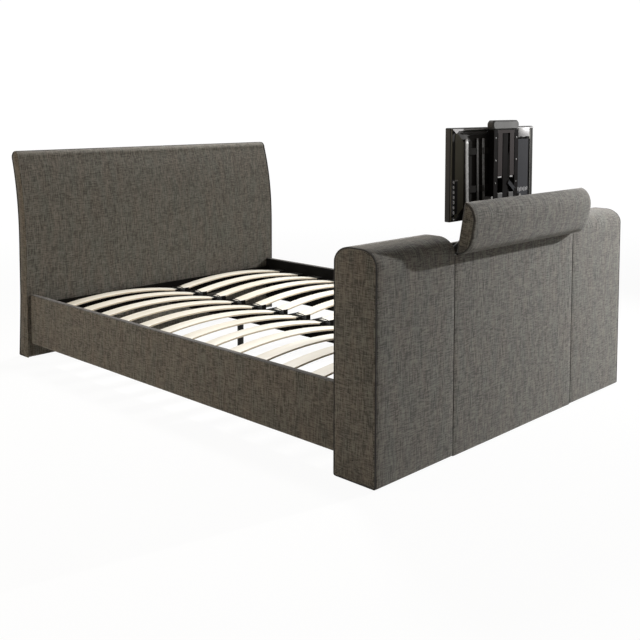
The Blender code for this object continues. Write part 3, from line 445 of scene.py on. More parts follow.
LINEN = make_linen("Grey brown slub linen", (0.034, 0.0315, 0.0275), (0.168, 0.161, 0.146), 1.12)
# A darker, warmer and flatter copy of the footboard's linen: painted shade on the headboard.
PAINTED_SHADE_HEAD_LINEN = make_linen("Headboard slub linen", (0.037, 0.0335, 0.0280), (0.152, 0.142, 0.124),
                        0.92)
# Same linen drawn near-black: partly painted shade on the piping cords, and painted shade on the
# rails' tops.
PIPING_AND_SHADE_LINEN = make_linen("Dark linen piping", (0.006, 0.005, 0.0042), (0.020, 0.0175, 0.015))
# Black lining: real inside the lid, and a dark sheet of painted shade on the rails' inner faces.
LINING_AND_SHADE = make_lining("Black non-woven lining", (0.004, 0.004, 0.004))
BIRCH = make_birch()
BLACK_BOARD = make_hard_finish("Black lined board", (0.005, 0.0045, 0.004), 0.0, 0.85, 500.0,
                               worn=(0.02, 0.017, 0.014), Specular_IOR_Level=0.03)
BLACK_STEEL = make_hard_finish("Black powder coat", (0.010, 0.0090, 0.0092), 0.0, 0.66, 1300.0,
                               worn=(0.07, 0.07, 0.07), dust=0.03, Specular_IOR_Level=0.01)
BRACKET_STEEL = make_hard_finish("Dull black bracket steel", (0.017, 0.0165, 0.0155), 0.0, 0.72,
                                 900.0, worn=(0.03, 0.03, 0.03), Specular_IOR_Level=0.01)
ZINC = make_zinc()
BLACK_PLASTIC = make_hard_finish("Black moulded plastic", (0.007, 0.007, 0.0068), 0.0, 0.34,
                                 1500.0, dust=0.03, Specular_IOR_Level=0.20)
HOLDER_PLASTIC = make_hard_finish("Black slat holder", (0.005, 0.005, 0.005), 0.0, 0.38, 800.0,
                                  Specular_IOR_Level=0.25)
GREY_PLASTIC = make_hard_finish("Satin grey moulding", (0.074, 0.074, 0.074), 0.0, 0.58, 240.0,
                                depth=0.25, smudge=0.14, Specular_IOR_Level=0.15)
PALE_PLASTIC = make_hard_finish("Pale satin moulding", (0.34, 0.34, 0.35), 0.0, 0.46, 700.0,
                                depth=0.08, Specular_IOR_Level=0.25)
SOCKET_GREY = make_hard_finish("Socket panel grey", (0.060, 0.062, 0.069), 0.0, 0.66, 1200.0,
                               Specular_IOR_Level=0.01)
GUIDE_STEEL = make_hard_finish("Dull guide steel", (0.050, 0.043, 0.044), 0.0, 0.66, 700.0,
                               (1, 1, 0.1), worn=(0.30, 0.29, 0.28), Specular_IOR_Level=0.02)
# The cover's side colour is a painted highlight on its ends.
COVER_PLASTIC = make_hard_finish("Dark grey set cover", (0.012, 0.011, 0.010), 0.0, 0.60, 1200.0,
                                 side=(0.185, 0.185, 0.160), Specular_IOR_Level=0.05)
SCREEN = make_screen_glass()


def new_piece(name, shape, materials, place=None):
    """Turn a bmesh into a named piece whose object stays at the origin."""
    if place is not None:
        bmesh.ops.transform(shape, matrix=place, verts=shape.verts)
    mesh = bpy.data.meshes.new(name)
    shape.to_mesh(mesh)
    shape.free()
    for material in materials:
        mesh.materials.append(material)
    thing = bpy.data.objects.new(name, mesh)
    bpy.context.scene.collection.objects.link(thing)
    return thing


def settle(thing):
    """Make a piece's modifiers plain mesh."""
    bpy.context.view_layer.update()
    shown = thing.evaluated_get(bpy.context.evaluated_depsgraph_get())
    mesh = bpy.data.meshes.new_from_object(shown)
    thing.modifiers.clear()
    thing.data = mesh
    mesh.name = thing.name
    return thing


def place_on(thing, body, slot, *nodes):
    """Fix a piece to a body and hide the nodes that it stands for. The slot is not used."""
    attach(thing, body)
    if nodes:
        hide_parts(*nodes)


def between(low, high, share):
    return low + (high - low) * share


def unit(a, b):
    length = math.hypot(a, b) or 1.0
    return a / length, b / length


def round_corners(outline, radius, steps=4):
    """Round the sharp corners of a closed outline given anticlockwise or clockwise."""
    points = []
    count = len(outline)
    for index, (u, v) in enumerate(outline):
        before, after = outline[index - 1], outline[(index + 1) % count]
        in_u, in_v = unit(u - before[0], v - before[1])
        out_u, out_v = unit(after[0] - u, after[1] - v)
        turn = math.acos(max(-1.0, min(1.0, in_u * out_u + in_v * out_v)))
        if turn < math.radians(35):
            points.append((u, v))
            continue
        reach = radius * math.tan(turn / 2)
        start = (u - in_u * reach, v - in_v * reach)
        end = (u + out_u * reach, v + out_v * reach)
        for step in range(steps + 1):
            share = step / steps
            first = (between(start[0], u, share), between(start[1], v, share))
            second = (between(u, end[0], share), between(v, end[1], share))
            points.append((between(first[0], second[0], share),
                           between(first[1], second[1], share)))
    return points


def resample(outline, step):
    """Add points along the long sides of a closed outline."""
    points = []
    for index, (u, v) in enumerate(outline):
        after = outline[(index + 1) % len(outline)]
        count = max(1, round(math.dist((u, v), after) / step))
        points += [(between(u, after[0], part / count), between(v, after[1], part / count))
                   for part in range(count)]
    return points


def outward(outline):
    """Unit direction that points out of a closed outline at each of its points."""
    count = len(outline)
    area = sum(outline[i - 1][0] * outline[i][1] - outline[i][0] * outline[i - 1][1]
               for i in range(count))
    side = 1.0 if area > 0 else -1.0
    found = []
    for index in range(count):
        before, after = outline[index - 1], outline[(index + 1) % count]
        along_u, along_v = unit(after[0] - before[0], after[1] - before[1])
        found.append((side * along_v, -side * along_u))
    return found


def arc_lengths(outline):
    lengths = [0.0]
    for index in range(len(outline)):
        after = outline[(index + 1) % len(outline)]
        lengths.append(lengths[-1] + math.dist(outline[index], after))
    return lengths


def end_columns(edge, inwards, rounding, steps=5):
    """Columns that round off one end: each is (place along X, how far the outline draws in)."""
    columns = []
    for step in range(steps + 1):
        turn = math.pi / 2 * step / steps
        columns.append((edge + inwards * rounding * (1 - math.sin(turn)),
                        rounding * (1 - math.cos(turn))))
    return list(reversed(columns))


def set_cloth_uv(face, layer, spots):
    for loop, spot in zip(face.loops, spots):
        loop[layer].uv = spot


def bridge(shape, near, far):
    """Join two rings of as many corners with faces, and give the faces in their order."""
    count = len(near)
    return [shape.faces.new([near[k], near[(k + 1) % count], far[(k + 1) % count], far[k]])
            for k in range(count)]


def padded_board(name, outline, spine, ends, rounding=(EDGE_ROUND, EDGE_ROUND), bulge=(0.0, 0.0),
                 seams=(False, False), piped=(False, False), place=None, step=0.012,
                 ripple=0.0007, plain_where=None, linen=LINEN, cord=PIPING_RADIUS):
    """A foam covered board: an outline swept along X with soft ends, drawn in at its seams.
    The spine gives, for a point of the outline, where the end's cloth comes together."""
    shape = bmesh.new()
    cloth = shape.loops.layers.uv.new("cloth")
    seam_shade_layer = shape.verts.layers.float.new("seam")
    outline = resample(outline, step)
    directions = outward(outline)
    lengths = arc_lengths(outline)
    low, high = ends
    columns = end_columns(low, 1, rounding[0])
    span = high - rounding[1] - (low + rounding[0])
    inner = max(2, round(span / 0.030))
    columns += [(low + rounding[0] + span * part / inner, 0.0) for part in range(1, inner)]
    columns += list(reversed(end_columns(high, -1, rounding[1])))
    rings = []
    for x, inset in columns:
        # Painted shade: vertices near a seamed end get a mark that darkens the cloth.
        mark = 0.0
        for edge, seam in zip(ends, seams):
            if seam:
                mark = max(mark, 1.0 - abs(x - edge) / SEAM_ROUND)
        ring = []
        for (u, v), (out_u, out_v) in zip(outline, directions):
            vertex = shape.verts.new((x, u - out_u * inset, v - out_v * inset))
            vertex[seam_shade_layer] = mark
            ring.append(vertex)
        rings.append(ring)
    for (near_x, _), (far_x, _), near, far in zip(columns, columns[1:], rings, rings[1:]):
        for index, face in enumerate(bridge(shape, near, far)):
            set_cloth_uv(face, cloth, [(near_x, lengths[index]), (near_x, lengths[index + 1]),
                                       (far_x, lengths[index + 1]), (far_x, lengths[index])])
    for end, (ring, edge) in enumerate(zip((rings[0], rings[-1]), ends)):
        out = -1 if end == 0 else 1
        last, cap = ring, []
        for part in (0.05, 0.14, 0.28, 0.46, 0.66, 0.86):
            swell = bulge[end] * (1 - (1 - part) ** 2)
            new = []
            for vertex in ring:
                middle = spine(vertex.co.y, vertex.co.z)
                new.append(shape.verts.new((edge + out * swell,
                                            between(vertex.co.y, middle[0], part),
                                            between(vertex.co.z, middle[1], part))))
            cap += bridge(shape, last, new)
            last = new
        for face in cap + [shape.faces.new(last)]:
            set_cloth_uv(face, cloth, [(v.co.y + 3.0, v.co.z) for v in face.verts])
    bmesh.ops.remove_doubles(shape, verts=shape.verts, dist=0.00005)
    bmesh.ops.recalc_face_normals(shape, faces=shape.faces)
    if shape.calc_volume(signed=True) < 0:
        bmesh.ops.reverse_faces(shape, faces=shape.faces)
    shape.normal_update()
    for vertex in shape.verts:
        swell = noise.noise(vertex.co * 3.1) + 0.5 * noise.noise(vertex.co * 8.3)
        vertex.co -= vertex.normal * ripple * (0.6 + 0.6 * swell)
    for face in shape.faces:
        face.smooth = True
    # The piping cords take material 1, the near-black linen, which is partly painted shade.
    for end, wanted in enumerate(piped):
        if wanted:
            inset = rounding[end] * (1 - math.sqrt(0.5))
            x = ends[end] + (inset if end == 0 else -inset)
            path = [Vector((x, u - out_u * inset, v - out_v * inset))
                    for (u, v), (out_u, out_v) in zip(outline, directions)]
            add_tube(shape, path, cord, True, 1, cloth)
    if plain_where:
        for face in shape.faces:
            if face.material_index == 1 and plain_where(face.calc_center_median()):
                face.material_index = 0
    return new_piece(name, shape, [linen, PIPING_AND_SHADE_LINEN], place)


def add_tube(shape, path, radius, closed, material=0, cloth=None, sides=10, axis=(1, 0, 0)):
    """A round tube along a path that lies across one axis."""
    axis = Vector(axis)
    rings = []
    run = [0.0]
    for index, spot in enumerate(path):
        before = path[index - 1] if closed or index else spot
        after = path[(index + 1) % len(path)] if closed or index + 1 < len(path) else spot
        along = (after - before).normalized()
        other = along.cross(axis).normalized()
        rings.append([shape.verts.new(spot + radius * (axis * math.cos(math.tau * k / sides)
                                                       + other * math.sin(math.tau * k / sides)))
                      for k in range(sides)])
        run.append(run[-1] + (after - before).length / 2)
    made = []
    for index in range(len(rings) if closed else len(rings) - 1):
        for k, face in enumerate(bridge(shape, rings[index], rings[(index + 1) % len(rings)])):
            made.append(face)
            face.smooth = True
            if cloth is not None:
                left, right = k * radius * 0.6, (k + 1) * radius * 0.6
                set_cloth_uv(face, cloth, [(left, run[index]), (right, run[index]),
                                           (right, run[index + 1]), (left, run[index + 1])])
    if not closed:
        made += [shape.faces.new(ring) for ring in (rings[0], rings[-1])]
    for face in made:
        face.material_index = material
    bmesh.ops.recalc_face_normals(shape, faces=made)


def crown_outline(inset, base_y=0.0, base_z=0.0, steps=16):
    """Crown of the footboard's section, from its outer side to its inner side."""
    points = []
    for side in (-1, 1):
        middle = side * (FOOT_HALF_DEPTH - CROWN_DEPTH)
        for step in range(steps + 1):
            turn = math.pi / 2 * step / steps
            turn = math.pi - turn if side < 0 else math.pi / 2 - turn
            points.append((middle + (CROWN_DEPTH - inset) * math.cos(turn) - base_y,
                           FOOT_TOP - CROWN_RISE + (CROWN_RISE - inset) * math.sin(turn) - base_z))
    return points


def upright_spine(middle, low, high):
    """Cloth of an end comes together on an upright line."""
    return lambda u, v: (middle, min(max(v, low), high))


def make_towers():
    outline = [(-FOOT_HALF_DEPTH, PADDING_FOOT)] + crown_outline(0.0)
    outline = round_corners(outline + [(FOOT_HALF_DEPTH, PADDING_FOOT)], 0.010)
    for label in ("left", "right"):
        node = "footboard_" + label + "_tower"
        low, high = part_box(node)
        pairs = [(TOWER_ROUND, SEAM_ROUND), (0.0035, 0.0), (False, True), (True, False)]
        if label == "right":
            pairs = [pair[::-1] for pair in pairs]
        tower = padded_board(label + "_tower", outline, upright_spine(0.0, 0.09, 0.70),
                             (low.x, high.x), *pairs)
        place_on(tower, "bed_frame", "linen", node)


def make_panels():
    for node, name, top_round in (("footboard_outer_panel", "outer_panel", 0.0025),
                                  ("footboard_inner_panel", "inner_panel", 0.005)):
        low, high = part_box(node)
        outline = [(low.y, PADDING_FOOT), (low.y, high.z - 0.001), (high.y, high.z - 0.001),
                   (high.y, PADDING_FOOT)]
        middle = (low.y + high.y) / 2
        outline = round_corners(outline, top_round)
        panel = padded_board(name, outline, upright_spine(middle, 0.02, high.z - 0.02),
                             (low.x, high.x), (SEAM_ROUND, SEAM_ROUND), seams=(True, True))
        place_on(panel, "bed_frame", "linen", node)


def head_section(height):
    """Front and thickness of the headboard's section at a height."""
    share = max(0.0, height - HEAD_BEND) / HEAD_BEND
    return HEAD_FRONT + HEAD_LEAN * share ** HEAD_LEAN_POWER, HEAD_THICK - HEAD_TAPER * share


def head_middle(height):
    near, thick = head_section(height)
    return near + thick / 2


def make_headboard():
    front, back = [], []
    for step in range(25):
        height = HEAD_BEND + (HEAD_CROWN_FOOT - HEAD_BEND) * step / 24
        near, thick = head_section(height)
        front.append((near, height))
        back.append((near + thick, height))
    near, far = front[-1][0], back[-1][0]

    def on_crown(turn, rise=HEAD_CROWN_RISE):
        return ((near + far) / 2 + (far - near) / 2 * math.cos(turn),
                HEAD_CROWN_FOOT + rise * math.sin(turn))

    crown = [on_crown(math.pi * (1 - step / 14)) for step in range(1, 14)]
    flare = [(HEAD_FRONT + HEAD_THICK + 0.020 * (step / 8) ** 1.2, 0.300 * (1 - step / 8))
             for step in range(8)]
    flare.append((HEAD_FRONT + 0.084, PADDING_FOOT))
    outline = [(HEAD_FRONT, PADDING_FOOT)] + front + crown + list(reversed(back)) + flare
    outline = round_corners(outline, 0.006)
    low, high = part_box("headboard")

    def spine(u, v):
        height = min(max(v, 0.05), 0.955)
        return head_middle(height), height

    # The headboard's piping takes the near-black linen, partly painted shade, except on the left
    # front edge, which lies in light and keeps the plain linen.
    board = padded_board("headboard_padding", outline, spine, (low.x, high.x),
                         bulge=(0.0025, 0.0025), piped=(True, True), ripple=0.0010,
                         plain_where=lambda spot: spot.x < 0 and spot.y < head_middle(spot.z),
                         linen=PAINTED_SHADE_HEAD_LINEN, cord=HEAD_PIPING)
    place_on(board, "bed_frame", "linen", "headboard")
    # A near-black cord along the back of the crown: partly painted shade along the crown's top
    # edge.
    spot_y, spot_z = on_crown(math.radians(75), 0.0290)
    steps = 54
    path = [Vector((between(low.x + 0.004, high.x - 0.004, step / steps), spot_y, spot_z))
            for step in range(steps + 1)]
    shape = bmesh.new()
    cloth = shape.loops.layers.uv.new("cloth")
    add_tube(shape, path, HEAD_PIPING, False, 0, cloth, axis=(0, 1, 0))
    piping = new_piece("headboard_top_piping", shape, [PIPING_AND_SHADE_LINEN])
    place_on(piping, "bed_frame", "linen")


def make_rails():
    for label in ("left", "right"):
        node = "side_rail_" + label
        low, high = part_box(node)
        outline = [(-high.x, low.z), (-high.x, high.z), (-low.x, high.z), (-low.x, low.z)]
        outline = round_corners(outline, EDGE_ROUND)
        middle = -(low.x + high.x) / 2
        rail = padded_board(label + "_rail_padding", outline,
                            upright_spine(middle, low.z + 0.015, high.z - 0.015),
                            (low.y, high.y), (SEAM_ROUND, SEAM_ROUND),
                            place=Matrix.Rotation(math.pi / 2, 4, "Z"))
        rail.data.materials.append(LINING_AND_SHADE)
        inward = 1 if label == "left" else -1
        # Painted shade: the inner faces take the black lining, a dark sheet where there is only
        # shade, and the top faces take the near-black piping linen.
        for face in rail.data.polygons:
            if face.normal.x * inward > 0.7:
                face.material_index = 2
            elif face.normal.z > 0.6:
                face.material_index = 1
        place_on(rail, "bed_frame", "linen", node)


LID_PLACE = Matrix.Translation((0, HINGE_Y, HINGE_Z)) @ Matrix.Rotation(LID_ANGLE, 4, "X")


def make_lid():
    """The lid: a padded crown, hollow below, with a linen rim and a black lining."""
    depth = 2 * FOOT_HALF_DEPTH
    crown = crown_outline(0.0, HINGE_Y, HINGE_Z)
    outline = [(0.0045, 0.0019)] + crown[1:-1] + [(depth, 0.0019)]
    outline = round_corners(outline, 0.0035)
    lid = padded_board("lid_padding", outline, lambda u, v: (min(max(u, 0.045), 0.141), 0.018),
                       (-LID_END, LID_END), (0.006, 0.006), (0.0012, 0.0012),
                       seams=(True, True), step=0.010, ripple=0.0006)
    inner = crown_outline(LID_WALL, HINGE_Y, HINGE_Z)
    inner = [(LID_WALL, -0.02)] + inner + [(depth - LID_WALL, -0.02)]
    cutter = padded_board("lid hollow", inner, lambda u, v: (0.093, 0.01),
                          (-LID_END + LID_WALL, LID_END - LID_WALL), (0.004, 0.004), ripple=0.0003)
    cutter.data.materials.clear()
    cutter.data.materials.append(LINING_AND_SHADE)
    hollow = lid.modifiers.new("hollow", "BOOLEAN")
    hollow.operation = "DIFFERENCE"
    hollow.object = cutter
    hollow.solver = "MANIFOLD"
    hollow.material_mode = "TRANSFER"
    settle(lid)
    bpy.data.objects.remove(cutter)
    lid.data.transform(LID_PLACE)
    place_on(lid, "lid", "linen", "footboard_lid")


def start_geometry_group(name, inputs):
    return start_group(name, [("Geometry", GEOMETRY, None)] + inputs, [("Geometry", GEOMETRY)],
                       "GeometryNodeTree")


def finish_copies(tree, copies, material, result):
    """Make the copies real and give them their material."""
    real = add_node(tree, "GeometryNodeRealizeInstances", {0: copies.outputs[0]})
    dressed = add_node(tree, "GeometryNodeSetMaterial", {"Geometry": real.outputs[0],
                                                         "Material": material})
    tree.links.new(dressed.outputs[0], result["Geometry"])


def make_row_group():
    """Copies of one piece in a straight row, each turned a little, mostly about its own Z."""
    tree, given, result = start_geometry_group("Row of pieces", [
        ("Piece", "NodeSocketObject", None), ("Count", "NodeSocketInt", 5),
        ("Start", POINT, (0, 0, 0)), ("Step", POINT, (0.1, 0, 0)), ("Turn", POINT, (0, 0, 0)),
        ("Wobble", NUMBER, 0.0), ("Seed", "NodeSocketInt", 3),
        ("Material", "NodeSocketMaterial", None)])
    line = add_node(tree, "GeometryNodeMeshLine", {"Count": given["Count"],
                                                   "Start Location": given["Start"],
                                                   "Offset": given["Step"]})
    piece = add_node(tree, "GeometryNodeObjectInfo", {"Object": given["Piece"]})
    copies = add_node(tree, "GeometryNodeInstanceOnPoints", {
        "Points": line.outputs[0], "Instance": piece.outputs["Geometry"],
        "Rotation": given["Turn"]})
    least, most = [add_node(tree, "ShaderNodeVectorMath", {
        0: (side * 0.05, side * 0.05, side), "Scale": given["Wobble"]},
        operation="SCALE").outputs[0] for side in (-1, 1)]
    chance = add_node(tree, "FunctionNodeRandomValue", {0: least, 1: most, "Seed": given["Seed"]},
                      data_type="FLOAT_VECTOR")
    turned_copies = add_node(tree, "GeometryNodeRotateInstances", {
        "Instances": copies.outputs[0], "Rotation": chance.outputs[0]})
    finish_copies(tree, turned_copies, given["Material"], result)
    return tree


def make_slat_group():
    """Two rows of slats, with a shade of its own stored on each slat."""
    tree, given, result = start_geometry_group("Slat rows", [
        ("Slat", "NodeSocketObject", None), ("Count", "NodeSocketInt", 13),
        ("First", POINT, (0, 0, 0)), ("Pitch", NUMBER, 0.15), ("Middle", NUMBER, 0.4),
        ("Seed", "NodeSocketInt", 11), ("Material", "NodeSocketMaterial", None)])
    step = add_node(tree, "ShaderNodeCombineXYZ", {
        "Y": maths(tree, "MULTIPLY", given["Pitch"], -1.0)}).outputs[0]
    rows = tree.nodes.new("GeometryNodeJoinGeometry")
    for side in (-1.0, 1.0):
        aside = add_node(tree, "ShaderNodeCombineXYZ", {
            "X": maths(tree, "MULTIPLY", given["Middle"], side)}).outputs[0]
        start = add_node(tree, "ShaderNodeVectorMath", {0: given["First"], 1: aside},
                         operation="ADD").outputs[0]
        line = add_node(tree, "GeometryNodeMeshLine", {
            "Count": given["Count"], "Start Location": start, "Offset": step})
        tree.links.new(line.outputs[0], rows.inputs[0])
    slat = add_node(tree, "GeometryNodeObjectInfo", {"Object": given["Slat"]})
    copies = add_node(tree, "GeometryNodeInstanceOnPoints", {
        "Points": rows.outputs[0], "Instance": slat.outputs["Geometry"]})
    shade = add_node(tree, "FunctionNodeRandomValue", {"Seed": given["Seed"]}, data_type="FLOAT")
    marked = add_node(tree, "GeometryNodeStoreNamedAttribute", {
        "Geometry": copies.outputs[0], "Name": "slat_shade",
        "Value": next(s for s in shade.outputs if s.enabled)},
        domain="INSTANCE", data_type="FLOAT")
    finish_copies(tree, marked, given["Material"], result)
    return tree


ROW_GROUP = make_row_group()
SLAT_GROUP = make_slat_group()


def grow(name, group, values):
    """Run a geometry group on an empty mesh and keep what it makes as plain mesh."""
    thing = bpy.data.objects.new(name, bpy.data.meshes.new(name))
    bpy.context.scene.collection.objects.link(thing)
    modifier = thing.modifiers.new(group.name, "NODES")
    modifier.node_group = group
    for socket in group.interface.items_tree:
        if socket.in_out == "INPUT" and socket.name in values:
            modifier[socket.identifier] = values[socket.name]
    return settle(thing)


def join_pieces(name, things):
    """Several plain pieces as one, with all their materials."""
    materials = []
    shape = bmesh.new()
    for thing in things:
        part = bmesh.new()
        part.from_mesh(thing.data)
        for face in part.faces:
            material = thing.data.materials[face.material_index]
            if material not in materials:
                materials.append(material)
            face.material_index = materials.index(material)
        mesh = bpy.data.meshes.new("joining")
        part.to_mesh(mesh)
        part.free()
        shape.from_mesh(mesh)
        bpy.data.meshes.remove(mesh)
        bpy.data.objects.remove(thing)
    return new_piece(name, shape, materials)


def row(name, piece, material, count, start, step, turn=(0, 0, 0), wobble=0.0, seed=3):
    return grow(name, ROW_GROUP, {"Piece": piece, "Count": count, "Start": start, "Step": step,
                                  "Turn": turn, "Wobble": wobble, "Seed": seed,
                                  "Material": material})


def soft_block(shape, low, high, material, cut):
    """Add a block with rounded edges."""
    spots = bmesh.ops.create_cube(shape, size=1.0)["verts"]
    size = [b - a for a, b in zip(low, high)]
    for vertex in spots:
        vertex.co = Vector([a + (c + 0.5) * s for a, c, s in zip(low, vertex.co, size)])
    for face in {face for vertex in spots for face in vertex.link_faces}:
        face.material_index = material
    edges = list({edge for vertex in spots for edge in vertex.link_edges})
    bmesh.ops.bevel(shape, geom=edges, offset=min(cut, min(size) * 0.45), segments=2, profile=0.5,
                    affect="EDGES", material=material)


def block_piece(name, blocks, materials, body, slot, place=None):
    """A piece of rounded blocks, each (low corner, high corner, material number, cut)."""
    shape = bmesh.new()
    for block in blocks:
        soft_block(shape, *block)
    place_on(new_piece(name, shape, materials, place), body, slot)


def turned(shape, profile, sides=20):
    """Turn (radius, height) points round Z."""
    rings = [[shape.verts.new((radius * math.cos(math.tau * k / sides),
                               radius * math.sin(math.tau * k / sides), height))
              for k in range(sides)] for radius, height in profile]
    for low, high in zip(rings, rings[1:]):
        bridge(shape, low, high)
    shape.faces.new(list(reversed(rings[0])))
    shape.faces.new(rings[-1])


def screw_piece(radius=0.0035, height=0.0018):
    """Pan head screw whose head looks along Z. Its six sided mark is a closed form of its own,
    turned inside out, that stands just above the head."""
    shape = bmesh.new()
    turned(shape, [(radius, 0.0), (radius, height * 0.45), (radius * 0.82, height * 0.85),
                   (radius * 0.52, height)], 20)
    turned(shape, [(radius * 0.50, height + 0.0001), (radius * 0.42, height * 0.35),
                   (radius * 0.05, height * 0.30)], 6)
    return new_piece("one screw", shape, [ZINC])


def staple_piece(width=0.010, wire=0.0006):
    """Wire staple whose back lies along X; its legs go down."""
    shape = bmesh.new()
    path = [Vector((-width / 2, 0, -0.002)), Vector((-width / 2, 0, 0)),
            Vector((-width / 2 + wire, 0, wire)), Vector((width / 2 - wire, 0, wire)),
            Vector((width / 2, 0, 0)), Vector((width / 2, 0, -0.002))]
    add_tube(shape, path, wire, False, sides=6, axis=(0, 1, 0))
    return new_piece("one staple", shape, [ZINC])


SCREW = screw_piece()
STAPLE = staple_piece()


def make_slats():
    low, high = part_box("slat_right_01")
    length = high.x - low.x
    shape = bmesh.new()
    half, thick, corner = SLAT_WIDTH / 2, SLAT_THICK, 0.0025
    section = round_corners([(-half, 0.0), (-half, thick), (half, thick), (half, 0.0)], corner, 3)
    rings = []
    steps = 28
    for step in range(steps + 1):
        share = step / steps
        x = (share - 0.5) * length
        rise = SLAT_BOW * (1 - (2 * share - 1) ** 2)
        rings.append([shape.verts.new((x, y, z + rise)) for y, z in section])
    for near, far in zip(rings, rings[1:]):
        bridge(shape, near, far)
    shape.faces.new(rings[0])
    shape.faces.new(list(reversed(rings[-1])))
    bmesh.ops.recalc_face_normals(shape, faces=shape.faces)
    for face in shape.faces:
        face.smooth = len(face.verts) == 4
    one = new_piece("one slat", shape, [BIRCH])
    middle_y = (low.y + high.y) / 2
    slats = grow("slats", SLAT_GROUP, {
        "Slat": one, "Count": SLAT_COUNT, "First": (0.0, middle_y, low.z), "Pitch": SLAT_PITCH,
        "Middle": (low.x + high.x) / 2, "Seed": 11, "Material": BIRCH})
    bpy.data.objects.remove(one)
    slats.data.set_sharp_from_angle(angle=SHARP_ANGLE)
    nodes = ["slat_" + side + "_" + str(number).zfill(2) for side in ("left", "right")
             for number in range(1, SLAT_COUNT + 1)]
    place_on(slats, "bed_frame", "birch", *nodes)
    return middle_y


def make_holder_details(first_y):
    """Straps at the slats' outer ends, hoods with loops between the slats, and screws."""
    low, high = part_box("slat_bearer_right")
    step = (0.0, -SLAT_PITCH, 0.0)
    half = SLAT_WIDTH / 2
    shape = bmesh.new()
    soft_block(shape, (-0.004, -half - 0.0075, -0.0008), (0.004, half + 0.0075, 0.0022), 0, 0.0010)
    for side in (-1, 1):
        soft_block(shape, (-0.0060, side * (half + 0.0045) - 0.0032, -0.010),
                   (0.0060, side * (half + 0.0045) + 0.0032, 0.0030), 0, 0.0012)
    strap = new_piece("one strap", shape, [HOLDER_PLASTIC])
    shape = bmesh.new()
    # The tubes come before the blocks: a bevel leaves the order of later faces to chance.
    for side in (-1, 1):
        arch = [Vector((side * 0.0105, (half + 0.0050) * math.cos(turn),
                        0.0014 + 0.0080 * math.sin(turn)))
                for turn in (math.pi * step / 12 for step in range(13))]
        add_tube(shape, arch, 0.0022, False)
    soft_block(shape, (-0.0120, -half - 0.0060, 0.0006), (0.0120, half + 0.0060, 0.0026), 0,
               0.0009)
    for side in (-1, 1):
        soft_block(shape, (-0.0135, side * (half + 0.0055) - 0.0030, -0.012),
                   (0.0135, side * (half + 0.0055) + 0.0030, 0.0024), 0, 0.0012)
    hood = new_piece("one hood", shape, [HOLDER_PLASTIC])
    slat_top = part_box("slat_right_01")[0].z + SLAT_THICK
    outer = high.x - 0.0405
    slope = 4 * SLAT_BOW * (0.036 / 0.72)
    made = [row("straps", strap, HOLDER_PLASTIC, SLAT_COUNT,
                (side * (outer + 0.003), first_y, slat_top + slope * 0.93 + 0.0005), step)
            for side in (-1, 1)]
    made.append(row("hoods", hood, HOLDER_PLASTIC, SLAT_COUNT, (0.0, first_y, slat_top + 0.0010),
                    step))
    bpy.data.objects.remove(strap)
    bpy.data.objects.remove(hood)
    straps = join_pieces("holder_straps", made)
    straps.data.set_sharp_from_angle(angle=SHARP_ANGLE)
    place_on(straps, "bed_frame", "black_plastic")
    made = [row("screws", SCREW, ZINC, SLAT_COUNT,
                (side * (high.x - 0.021), first_y + shift * 0.052, high.z - 0.028),
                step, wobble=0.5, seed=5 + side + shift) for side in (-1, 1) for shift in (-1, 1)]
    place_on(join_pieces("holder_screws", made), "bed_frame", "zinc_steel")


def make_head_ledger():
    """The black lined board that stands between the last slat and the headboard."""
    low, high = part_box("cross_rail_head")
    block_piece("head_ledger", [((low.x + 0.001, low.y + 0.001, high.z + 0.0002),
                                 (high.x - 0.001, high.y - 0.001, high.z + 0.0275), 0, 0.0018)],
                [BLACK_BOARD], "bed_frame", "black_board")


def make_lid_staples():
    """Staples that hold the lining along the two long sides of the lid's rim."""
    made = [row("staples", STAPLE, ZINC, STAPLE_COUNT, (-STAPLE_RUN / 2, along, 0.0080),
                (STAPLE_RUN / (STAPLE_COUNT - 1), 0, 0), turn=(turn, 0, 0), wobble=0.10, seed=seed)
            for along, turn, seed in ((STAPLE_INSET, math.pi / 2, 31),
                                      (2 * FOOT_HALF_DEPTH - STAPLE_INSET, -math.pi / 2, 32))]
    staples = join_pieces("lid_staples", made)
    staples.data.transform(LID_PLACE)
    place_on(staples, "lid", "zinc_steel")


def dress(node, material, cut=0.0006):
    """Give a kept node its finish and break its sharp edges."""
    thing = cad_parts[node]
    thing.data.materials.clear()
    thing.data.materials.append(material)
    weld = thing.modifiers.new("joined corners", "WELD")
    weld.merge_threshold = 0.00002
    if cut:
        flat = thing.modifiers.new("flat faces", "DECIMATE")
        flat.decimate_type = "DISSOLVE"
        flat.angle_limit = math.radians(2)
        edge = thing.modifiers.new("broken edges", "BEVEL")
        edge.width = cut
        edge.segments = 2
        edge.limit_method = "ANGLE"
        edge.angle_limit = math.radians(28)
        edge.harden_normals = True


